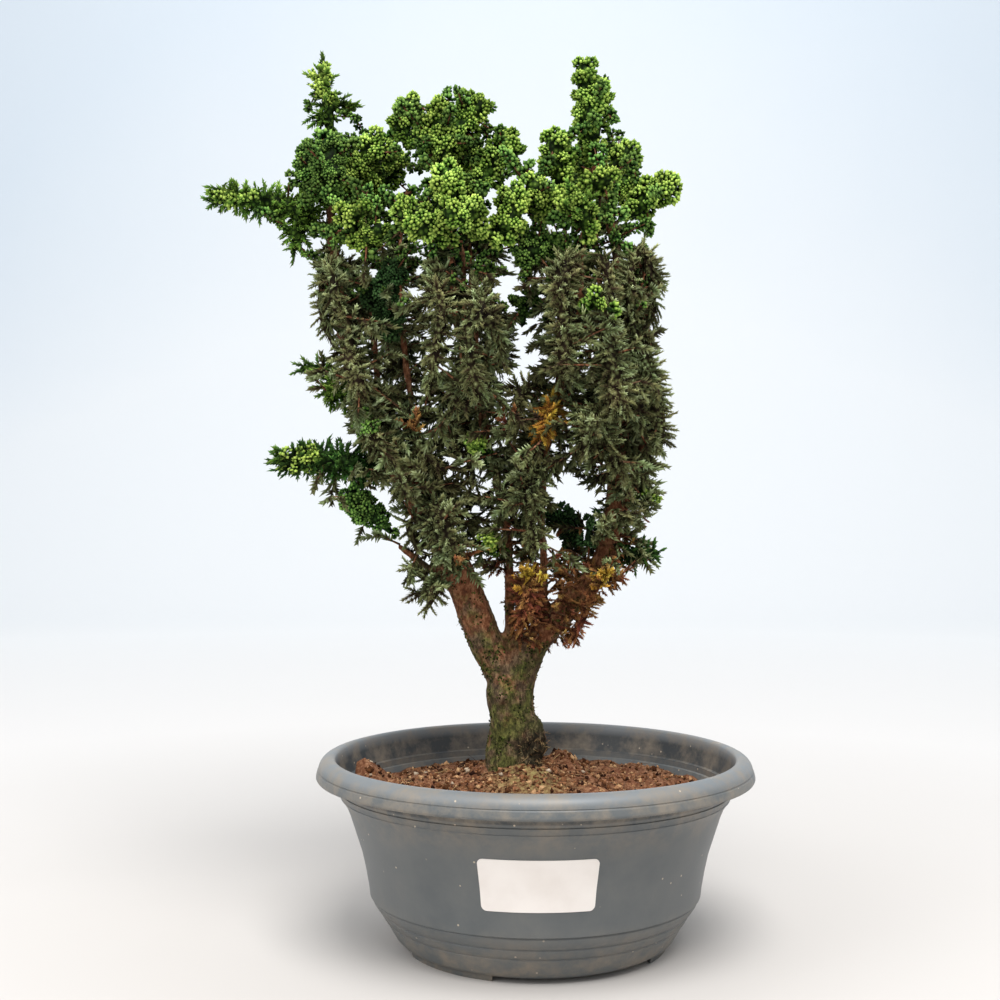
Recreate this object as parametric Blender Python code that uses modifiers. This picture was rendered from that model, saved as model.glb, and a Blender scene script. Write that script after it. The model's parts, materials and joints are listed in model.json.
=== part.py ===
"""A hinoki cypress bonsai in a round plastic bowl, in metres, +Z up.

The bowl, the peat that fills it, one grown piece of wood, a bare sticker, and one node for each leafy
branch. Routes are written in millimetres from the point on the ground below the bowl's axis; the whole
plant is moved at the end so that its origin is on the ground below the middle of its box.
"""

import math
import random

import bpy
import bmesh
import numpy as np
from mathutils import Vector
from mathutils.bvhtree import BVHTree

MM = 0.001
GAP = 0.3                    # clearance between pieces that touch on the real plant
MERGE = 1e-6                 # metres

# Bowl
BOWL_STEPS = 32              # sides of the turned bowl
WALL = 2.6                   # plastic thickness
FOOT_RADIUS = 78.0
FLOOR_UNDERSIDE = 3.4
FLOOR_TOP = 6.2
OPENING_RADIUS = 117.5
RIM_TOP = 109.5
RIM_RADIUS = 128.5
FOOT_COUNT = 3
FOOT_GAP_ANGLE = 73.0        # degrees of the foot ring that each gap takes
FIRST_GAP_ANGLE = 19.5       # degrees from the front, towards +X
FOOT_GAP_RISE = 3.0
DRAIN_RADIUS = 5.0
DRAIN_CIRCLE = 44.0
DRAIN_COUNT = 6

# Peat
SOIL_STEPS = 32
SOIL_EDGE = 87.0             # height of the peat at the wall
MOUND_RISE = 16.0            # how far it heaps up round the trunk
TRUNK_CLEARANCE = 0.6

# Sticker
LABEL_WIDTH = 62.0
LABEL_HEIGHT = 29.0
LABEL_CORNER = 3.0
LABEL_THICKNESS = 0.3
LABEL_MIDDLE = 58.8
LABEL_TURN = math.radians(1.0)
LABEL_COLUMNS = 12

# Leafy branches
ROOT_GAP = 0.8              # from a limb's surface to the foot of a leafy branch
LEAF_CLEARANCE = 0.5         # between the leaf tips of two branches
CORE_CLEARANCE = 0.8
ROOT_RADIUS = 0.75
BARE_LENGTH = 6.0            # of a leafy branch next to its limb
THINNEST = 0.8               # least radius of a leafy stem
LEAST_LEAFY = 1.25           # stems thinner than this stay bare
WIDE_STEM = 6.5              # stems wider than this have six sides instead of four


def point(x, y, z):
    """A place given in millimetres, in metres."""
    return Vector((x, y, z)) * MM


def clear_scene():
    for old in list(bpy.data.objects):
        bpy.data.objects.remove(old, do_unlink=True)


def new_collection(name):
    collection = bpy.data.collections.new(name)
    bpy.context.scene.collection.children.link(collection)
    return collection


def add_object(name, data, collection):
    obj = bpy.data.objects.new(name, data)
    collection.objects.link(obj)
    return obj


def finish_material(name, colour, roughness):
    """A Principled material for a plain, non-metallic finish."""
    material = bpy.data.materials.new(name)
    material.use_nodes = True
    shader = material.node_tree.nodes["Principled BSDF"]
    shader.inputs["Base Color"].default_value = (*colour, 1)
    shader.inputs["Roughness"].default_value = roughness
    shader.inputs["Metallic"].default_value = 0
    material.diffuse_color = (*colour, 1)
    return material


def paint(obj, material):
    """Gives an object one material and nothing else."""
    obj.data.materials.clear()
    obj.data.materials.append(material)
    obj.data.polygons.foreach_set("material_index", [0] * len(obj.data.polygons))


def mesh_from(obj):
    """The evaluated mesh of an object, which is then removed."""
    graph = bpy.context.evaluated_depsgraph_get()
    mesh = bpy.data.meshes.new_from_object(obj.evaluated_get(graph))
    bpy.data.objects.remove(obj, do_unlink=True)
    return mesh


def edit(mesh, change):
    """Runs change(bm) on a mesh and writes the result back."""
    bm = bmesh.new()
    bm.from_mesh(mesh)
    change(bm)
    bm.to_mesh(mesh)
    bm.free()


def turned_mesh(profile, steps, collection):
    """A profile of (radius, height) points, starting and ending on the axis, turned about Z."""
    bm = bmesh.new()
    corners = [bm.verts.new(point(r, 0, z)) for r, z in profile]
    for first, second in zip(corners, corners[1:]):
        bm.edges.new((first, second))
    outline = bpy.data.meshes.new("outline")
    bm.to_mesh(outline)
    bm.free()
    obj = add_object("turned", outline, collection)
    screw = obj.modifiers.new("Screw", "SCREW")
    screw.steps = steps
    screw.render_steps = steps
    screw.use_merge_vertices = True
    screw.merge_threshold = 1e-5
    return mesh_from(obj)


def cut_with(obj, cutters):
    cut = obj.modifiers.new("Cut", "BOOLEAN")
    cut.operation = "DIFFERENCE"
    cut.operand_type = "COLLECTION"
    cut.collection = cutters
    cut.solver = "EXACT"


def keep_outer_shell(bm):
    """Drops loose scraps and the walls of sealed hollows, so that one closed shell is left."""
    left = set(bm.verts)
    shells = []
    while left:
        stack = [left.pop()]
        shell = set(stack)
        while stack:
            for edge in stack.pop().link_edges:
                for vert in edge.verts:
                    if vert in left:
                        left.discard(vert)
                        shell.add(vert)
                        stack.append(vert)
        shells.append(shell)
    shells.sort(key=len)
    scraps = [vert for shell in shells[:-1] for vert in shell]
    bmesh.ops.delete(bm, geom=scraps, context="VERTS")


def fuse(name, meshes, collection):
    """One mesh from several overlapping closed ones, by a single union on a collection."""
    base = add_object(name, meshes[0], collection)
    if len(meshes) == 1:
        return base
    others = new_collection(name + "_pieces")
    for mesh in meshes[1:]:
        add_object(name + "_piece", mesh, others)
    join = base.modifiers.new("Join", "BOOLEAN")
    join.operation = "UNION"
    join.operand_type = "COLLECTION"
    join.collection = others
    join.solver = "MANIFOLD"
    joined = mesh_from(base)
    for piece in list(others.objects):
        bpy.data.objects.remove(piece, do_unlink=True)
    bpy.data.collections.remove(others)
    edit(joined, keep_outer_shell)
    return add_object(name, joined, collection)


# Bowl

def wall_radius(z):
    """Radius of the bowl's outer wall at a height in millimetres, below the rim."""
    heights = [3.4, 6.6, 16.0, 21.8, 26.8, 31.0, 35.7, 45.8, 55.9, 66.6, 77.4, 82.7, 86.4, 91.0]
    radii = [79.2, 82.6, 88.2, 92.0, 95.5, 97.2, 97.8, 99.6, 101.9, 105.4, 108.9, 111.1, 113.8, 115.0]
    return float(np.interp(z, heights, radii))


def inner_radius(z):
    """Radius of the bowl's inner wall at a height in millimetres, below the opening."""
    return wall_radius(z) - WALL


def bowl_profile():
    """Up the inside from the floor's middle, over the rim, down the outside and under to the axis."""
    floor = [(0.0, FLOOR_TOP), (74.0, FLOOR_TOP), (79.0, 8.2)]
    inside = [(inner_radius(z), z) for z in (12.0, 31.0, 45.8, 66.6, 77.4, 83.5)]
    ledge = [(111.0, 89.3), (112.4, 89.7)]
    rim = [
        (OPENING_RADIUS, RIM_TOP - 0.3), (OPENING_RADIUS + 2.5, RIM_TOP + 0.3), (124.2, 108.7),
        (126.6, 106.2), (127.8, 102.4), (RIM_RADIUS, 99.4), (RIM_RADIUS - 0.2, 98.0), (126.9, 97.6),
        (122.6, 105.8), (119.6, 105.4), (117.2, 95.5),
    ]
    body = [(wall_radius(z), z) for z in (91.0, 86.4, 82.7, 77.4, 66.6, 55.9, 45.8, 35.7, 31.0, 26.8)]
    steps = [(91.8, 22.2), (91.0, 21.6), (88.2, 16.0), (87.4, 15.4)]
    base = [(82.6, 6.6), (79.2, FLOOR_UNDERSIDE), (FOOT_RADIUS, FLOOR_UNDERSIDE - 0.2)]
    foot = [(FOOT_RADIUS - 0.6, 0.0), (FOOT_RADIUS - 5.0, 0.0), (FOOT_RADIUS - 6.0, FLOOR_UNDERSIDE)]
    return floor + inside + ledge + rim + body + steps + base + foot + [(0.0, FLOOR_UNDERSIDE)]


def foot_gap_cutters(cutters):
    """A box for each gap in the foot ring."""
    half_angle = math.radians(FOOT_GAP_ANGLE / 2)
    width = 2 * FOOT_RADIUS * math.sin(half_angle)
    near = 0.62 * FOOT_RADIUS
    far = FOOT_RADIUS + 8
    for i in range(FOOT_COUNT):
        bm = bmesh.new()
        bmesh.ops.create_cube(bm, size=1)
        height = FOOT_GAP_RISE + 2
        bmesh.ops.scale(bm, verts=bm.verts, vec=point(width, far - near, height))
        bmesh.ops.translate(bm, verts=bm.verts, vec=point(0, -(near + far) / 2, height / 2 - 2))
        mesh = bpy.data.meshes.new("foot_gap_cutter")
        bm.to_mesh(mesh)
        bm.free()
        obj = add_object("foot_gap_cutter", mesh, cutters)
        obj.rotation_euler.z = math.radians(FIRST_GAP_ANGLE + i * 360 / FOOT_COUNT)


def drain_cutters(cutters):
    for i in range(DRAIN_COUNT):
        angle = i * math.tau / DRAIN_COUNT
        bm = bmesh.new()
        bmesh.ops.create_cone(
            bm, cap_ends=True, segments=10, radius1=DRAIN_RADIUS * MM, radius2=DRAIN_RADIUS * MM,
            depth=4 * FLOOR_TOP * MM,
        )
        mesh = bpy.data.meshes.new("drain_cutter")
        bm.to_mesh(mesh)
        bm.free()
        obj = add_object("drain_cutter", mesh, cutters)
        obj.location = point(DRAIN_CIRCLE * math.sin(angle), DRAIN_CIRCLE * math.cos(angle), FLOOR_TOP / 2)


def hide(cutters):
    cutters.hide_render = True
    for obj in cutters.objects:
        obj.hide_render = True
        obj.display_type = "WIRE"


def make_pot(plant):
    pot = add_object("pot", turned_mesh(bowl_profile(), BOWL_STEPS, plant), plant)
    cutters = new_collection("pot_cutters")
    foot_gap_cutters(cutters)
    drain_cutters(cutters)
    hide(cutters)
    cut_with(pot, cutters)
    pot.data.shade_smooth()
    pot.data.set_sharp_from_angle(angle=math.radians(30))
    paint(pot, finish_material("grey plastic", (0.13, 0.14, 0.14), 0.55))
    return pot


# Peat

LUMPS = [
    # x, y, rise, reach, in millimetres
    (-4, -29, 7.0, 18), (17, 29, 12.0, 12), (-102, 8, 18.0, 12), (-92, -14, 5.0, 12), (38, -40, 3.5, 18),
    (-52, -52, 4.0, 20), (60, 25, 3.5, 16), (-48, 46, 3.5, 18), (84, -22, 3.0, 13), (2, 74, 4.0, 18),
    (-70, 8, 2.5, 15), (36, 58, 3.0, 14), (12, -78, 2.5, 16), (-10, -100, 2.0, 12), (70, 68, 2.5, 12),
]


def soil_rise(x, y):
    """How far the peat stands above its edge, for a place in millimetres."""
    from_trunk = math.hypot(x - TRUNK_X, y)
    rise = MOUND_RISE * math.exp(-((from_trunk / 46) ** 2))
    for lump_x, lump_y, height, reach in LUMPS:
        away = math.hypot(x - lump_x, y - lump_y)
        rise += height * math.exp(-((away / reach) ** 2))
    crumbs = math.sin(0.21 * x + 1.1) * math.sin(0.19 * y + 0.4) + 0.6 * math.sin(0.37 * (x + y))
    return rise + 1.3 * crumbs


def soil_profile():
    top = [(0.0, SOIL_EDGE)] + [(r, SOIL_EDGE) for r in (12.0, 25.0, 38.0, 52.0, 66.0, 80.0, 93.0, 103.0)]
    side = [(inner_radius(z) - GAP - 0.4, z) for z in (SOIL_EDGE - 3, 77.4, 66.6, 45.8, 31.0, 12.0)]
    bottom = [(74.0, FLOOR_TOP + GAP), (0.0, FLOOR_TOP + GAP)]
    return top + side + bottom


def make_soil(plant):
    mesh = turned_mesh(soil_profile(), SOIL_STEPS, plant)

    def heap(bm):
        for vert in bm.verts:
            if vert.co.z > (SOIL_EDGE - 1) * MM:
                vert.co.z += soil_rise(vert.co.x / MM, vert.co.y / MM) * MM

    edit(mesh, heap)
    soil = add_object("soil", mesh, plant)
    cutters = new_collection("soil_cutters")
    bm = bmesh.new()
    radius = (TRUNK_FOOT_RADIUS + TRUNK_CLEARANCE) / math.cos(math.pi / TRUNK_SIDES)
    depth = 160.0 - (TRUNK_FOOT - GAP)
    bmesh.ops.create_cone(
        bm, cap_ends=True, segments=TRUNK_SIDES, radius1=radius * MM, radius2=radius * MM, depth=depth * MM,
    )
    hole = bpy.data.meshes.new("trunk_hole_cutter")
    bm.to_mesh(hole)
    bm.free()
    cutter = add_object("trunk_hole_cutter", hole, cutters)
    cutter.location = point(TRUNK_X, 0, TRUNK_FOOT - GAP + depth / 2)
    hide(cutters)
    cut_with(soil, cutters)
    paint(soil, finish_material("peat", (0.10, 0.045, 0.025), 0.95))
    return soil


# Wood

TRUNK_X = -13.0
TRUNK_FOOT = 52.0
TRUNK_FOOT_RADIUS = 16.8
TRUNK_SIDES = 12

# Each limb: sides, then points along its middle as (x, y, z, radius), in millimetres
LIMBS = {
    "trunk": (TRUNK_SIDES, [
        (TRUNK_X, 0, TRUNK_FOOT, 16.4), (TRUNK_X, 0, 80, TRUNK_FOOT_RADIUS), (TRUNK_X, 0, 103, TRUNK_FOOT_RADIUS),
        (-12.6, 0, 112, 15.8), (-12.8, 0, 124, 14.4), (-14.6, 0, 138, 13.6), (-15.2, 0, 149, 14.2),
        (-14, 0, 157, 12.5),
    ]),
    "left": (8, [
        (-13, 0, 140, 11), (-18, 0, 156, 11.6), (-27, -1, 171, 10.4), (-36, -2, 193, 10.5), (-43, -2, 212, 9.8),
        (-55, -3, 236, 8.8), (-68, -4, 260, 8), (-95, -4, 301, 6.3), (-108, -4, 337, 5.2), (-117, -2, 378, 4.2),
        (-121, 0, 411, 3.3), (-123, 0, 444, 2.4),
    ]),
    "right": (8, [
        (-14, 0, 140, 11), (-9, 0, 158, 10.8), (-1, 0, 175, 9.2), (16, 0, 193, 8.2), (34, 0, 212, 7.4),
        (44, 0, 231, 6.8), (48, 0, 260, 6), (52, 0, 319, 5), (53, 2, 367, 4.2), (49, 4, 409, 3.4),
        (39, 4, 445, 2.6), (35, 3, 460, 2.1),
    ]),
    "middle": (6, [
        (-14, 2, 150, 5), (-15, 2, 176, 4), (-15, 2, 200, 3.3), (-16, 0, 236, 3.1), (-24, 0, 278, 2.9),
        (-35, 0, 319, 2.7), (-47, 0, 367, 2.5), (-50, 0, 408, 2.2), (-52, 0, 450, 1.8),
    ]),
    "second": (6, [
        (-3, 3, 170, 5), (3, 3, 188, 3.2), (6, 2, 206, 2.8), (4, 2, 260, 2.6), (11, 2, 313, 2.4),
        (19, 2, 367, 2.2), (19, 2, 409, 1.9), (16, 2, 439, 1.6),
    ]),
    "inner_left": (6, [
        (-52, -2, 232, 4), (-63, 0, 272, 3), (-72, 2, 307, 2.6), (-78, 4, 349, 2.3), (-82, 6, 392, 2),
        (-80, 8, 428, 1.7), (-77, 8, 448, 1.3),
    ]),
    "low_left": (6, [(-41, -2, 203, 5), (-54, -4, 213, 3.2), (-68, -6, 223, 2.6), (-81, -6, 233, 2)]),
    "right_outer": (6, [(44, 0, 240, 5), (58, 0, 266, 3.2), (66, -2, 307, 2.7), (67, -4, 354, 2.2), (64, -4, 401, 1.6)]),
    "left_back": (6, [(-82, -4, 282, 5), (-94, 18, 315, 3), (-99, 32, 353, 2.6), (-104, 40, 391, 2.2), (-108, 42, 429, 1.6)]),
    "mid_back": (6, [(-29, 0, 299, 2.4), (-33, 22, 333, 2.4), (-38, 40, 373, 2.2), (-41, 50, 418, 1.9), (-44, 52, 457, 1.5)]),
    "right_back": (6, [(50, 0, 276, 4.6), (47, 24, 309, 3), (45, 44, 354, 2.6), (41, 54, 400, 2.2), (38, 54, 445, 1.6)]),
    "mid_front": (6, [(-37, 0, 326, 2.4), (-40, -22, 349, 2.3), (-40, -36, 379, 2.1), (-41, -40, 406, 1.6)]),
    "right_front": (6, [(12, 2, 314, 2.2), (20, -20, 338, 2.3), (26, -34, 367, 2.1), (27, -36, 401, 1.6)]),
    "cut_stub": (6, [(-18, -6, 143, 3.6), (-19, -16.5, 145, 3.2)]),
    "old_twig": (6, [(-50, -4, 224, 2.4), (-52, -14, 233, 1.6), (-54, -17, 239, 0.9)]),
}


def smooth_route(points, spacing):
    """Points at an even spacing on a smooth curve through (x, y, z, radius) points, in millimetres."""
    knots = np.array(points, float)
    padded = np.vstack([2 * knots[0] - knots[1], knots, 2 * knots[-1] - knots[-2]])
    fine = []
    for p0, p1, p2, p3 in zip(padded, padded[1:], padded[2:], padded[3:]):
        for t in np.linspace(0, 1, 12, endpoint=False):
            fine.append(0.5 * (2 * p1 + (p2 - p0) * t + (2 * p0 - 5 * p1 + 4 * p2 - p3) * t * t
                               + (3 * p1 - p0 - 3 * p2 + p3) * t ** 3))
    fine = np.array(fine + [knots[-1]])
    along = np.concatenate([[0], np.cumsum(np.linalg.norm(np.diff(fine[:, :3], axis=0), axis=1))])
    count = max(1, round(along[-1] / spacing))
    places = np.linspace(0, along[-1], count + 1)
    return np.column_stack([np.interp(places, along, fine[:, k]) for k in range(4)])


def tube_mesh(rings, sides, collection, twist=0.0):
    """A closed tube along (x, y, z, radius) rings, each ring turned by twist from the one before."""
    curve = bpy.data.curves.new("tube", "CURVE")
    curve.dimensions = "3D"
    curve.bevel_depth = MM
    curve.bevel_resolution = (sides - 4) // 2
    spline = curve.splines.new("POLY")
    spline.points.add(len(rings) - 1)
    for i, (x, y, z, radius) in enumerate(rings):
        spline.points[i].co = (*point(x, y, z), 1)
        spline.points[i].radius = radius
        spline.points[i].tilt = i * twist
    mesh = mesh_from(add_object("tube", curve, collection))

    def close(bm):
        bmesh.ops.remove_doubles(bm, verts=bm.verts, dist=MERGE)
        ends = [edge for edge in bm.edges if edge.is_boundary]
        bmesh.ops.holes_fill(bm, edges=ends)
        bmesh.ops.recalc_face_normals(bm, faces=bm.faces)

    edit(mesh, close)
    bpy.data.curves.remove(curve)
    return mesh


def flute(mesh):
    """Shallow ridges that run up the trunk and lean with its grain, above the peat."""
    def change(bm):
        for vert in bm.verts:
            x, y, z = vert.co / MM
            if z > 112:
                angle = math.atan2(y, x - TRUNK_X)
                ridge = math.sin(3 * angle + 0.05 * z) + 0.7 * math.sin(5 * angle - 0.09 * z + 1.3)
                outward = Vector((math.cos(angle), math.sin(angle), 0))
                height = 0.8 if z < 135 else 0.3
                vert.co += outward * height * ridge * MM
    edit(mesh, change)


def burl_mesh():
    """The rough swelling at the right of the trunk's base."""
    bm = bmesh.new()
    bmesh.ops.create_icosphere(bm, subdivisions=2, radius=1)
    for vert in bm.verts:
        x, y, z = vert.co
        swell = 1 + 0.16 * math.sin(5 * x + 2) * math.sin(6 * z + 1)
        vert.co = point(-2 + 8.8 * x * swell, -4 + 9 * y * swell, 117 + 17 * z)
    mesh = bpy.data.meshes.new("burl")
    bm.to_mesh(mesh)
    bm.free()
    return mesh


def make_wood(plant):
    meshes = []
    for name, (sides, points) in LIMBS.items():
        spacing = {12: 10.5, 8: 18.0, 6: 28.0}[sides]
        mesh = tube_mesh(smooth_route(points, spacing), sides, plant)
        if name == "trunk":
            flute(mesh)
        meshes.append(mesh)
    meshes.append(burl_mesh())
    wood = fuse("wood", meshes, plant)
    paint(wood, finish_material("bark", (0.16, 0.11, 0.075), 0.9))
    return wood


# Sticker

def make_label(plant):
    """A rounded rectangle, bent round the bowl just clear of its wall."""
    half_width = LABEL_WIDTH / 2
    half_height = LABEL_HEIGHT / 2
    low = wall_radius(LABEL_MIDDLE - half_height)
    high = wall_radius(LABEL_MIDDLE + half_height)
    columns = [i / (LABEL_COLUMNS - 1) * 2 - 1 for i in range(LABEL_COLUMNS)]
    across = [side * half_width for side in (-1, 1)]
    across += [side * (half_width - 0.3 * LABEL_CORNER) for side in (-1, 1)]
    across += [(half_width - LABEL_CORNER) * share for share in columns]
    bm = bmesh.new()
    loops = []
    for x in sorted(across):
        into_corner = max(0.0, abs(x) - (half_width - LABEL_CORNER))
        drop = LABEL_CORNER - math.sqrt(max(0.0, LABEL_CORNER ** 2 - into_corner ** 2))
        angle = LABEL_TURN + x / wall_radius(LABEL_MIDDLE)
        loop = []
        for side, out in ((-1, 0), (-1, 1), (1, 1), (1, 0)):
            height = side * (half_height - drop)
            radius = low + (high - low) * (0.5 + height / LABEL_HEIGHT) + GAP + out * LABEL_THICKNESS
            spot = point(radius * math.sin(angle), -radius * math.cos(angle), LABEL_MIDDLE + height)
            loop.append(bm.verts.new(spot))
        loops.append(loop)
    for first, second in zip(loops, loops[1:]):
        for i in range(4):
            bm.faces.new((first[i], first[(i + 1) % 4], second[(i + 1) % 4], second[i]))
    bm.faces.new(loops[0])
    bm.faces.new(loops[-1])
    bmesh.ops.recalc_face_normals(bm, faces=bm.faces)
    mesh = bpy.data.meshes.new("label")
    bm.to_mesh(mesh)
    bm.free()
    label = add_object("label", mesh, plant)
    paint(label, finish_material("white film", (0.85, 0.84, 0.80), 0.4))
    return label


# Leafy branches

# Each kind: colour, length of a leaf tip, how far the tips lean up (or down, below nought), how much the
# radii of its stems below are widened, and the distance from one ring of tips to the next
KINDS = {
    "lime": ((0.30, 0.40, 0.06), 6.6, 0.45, 1.2, 9.3),
    "green": ((0.11, 0.22, 0.05), 6.8, 0.25, 1.2, 10.5),
    "olive": ((0.17, 0.19, 0.10), 9.8, -0.85, 1.35, 13.0),
    "dark": ((0.05, 0.10, 0.04), 7.0, 0.10, 1.35, 12.0),
    "gold": ((0.48, 0.36, 0.06), 7.6, -0.30, 1.2, 12.0),
    "dead": ((0.24, 0.11, 0.045), 6.8, -0.60, 1.2, 11.0),
}

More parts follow.
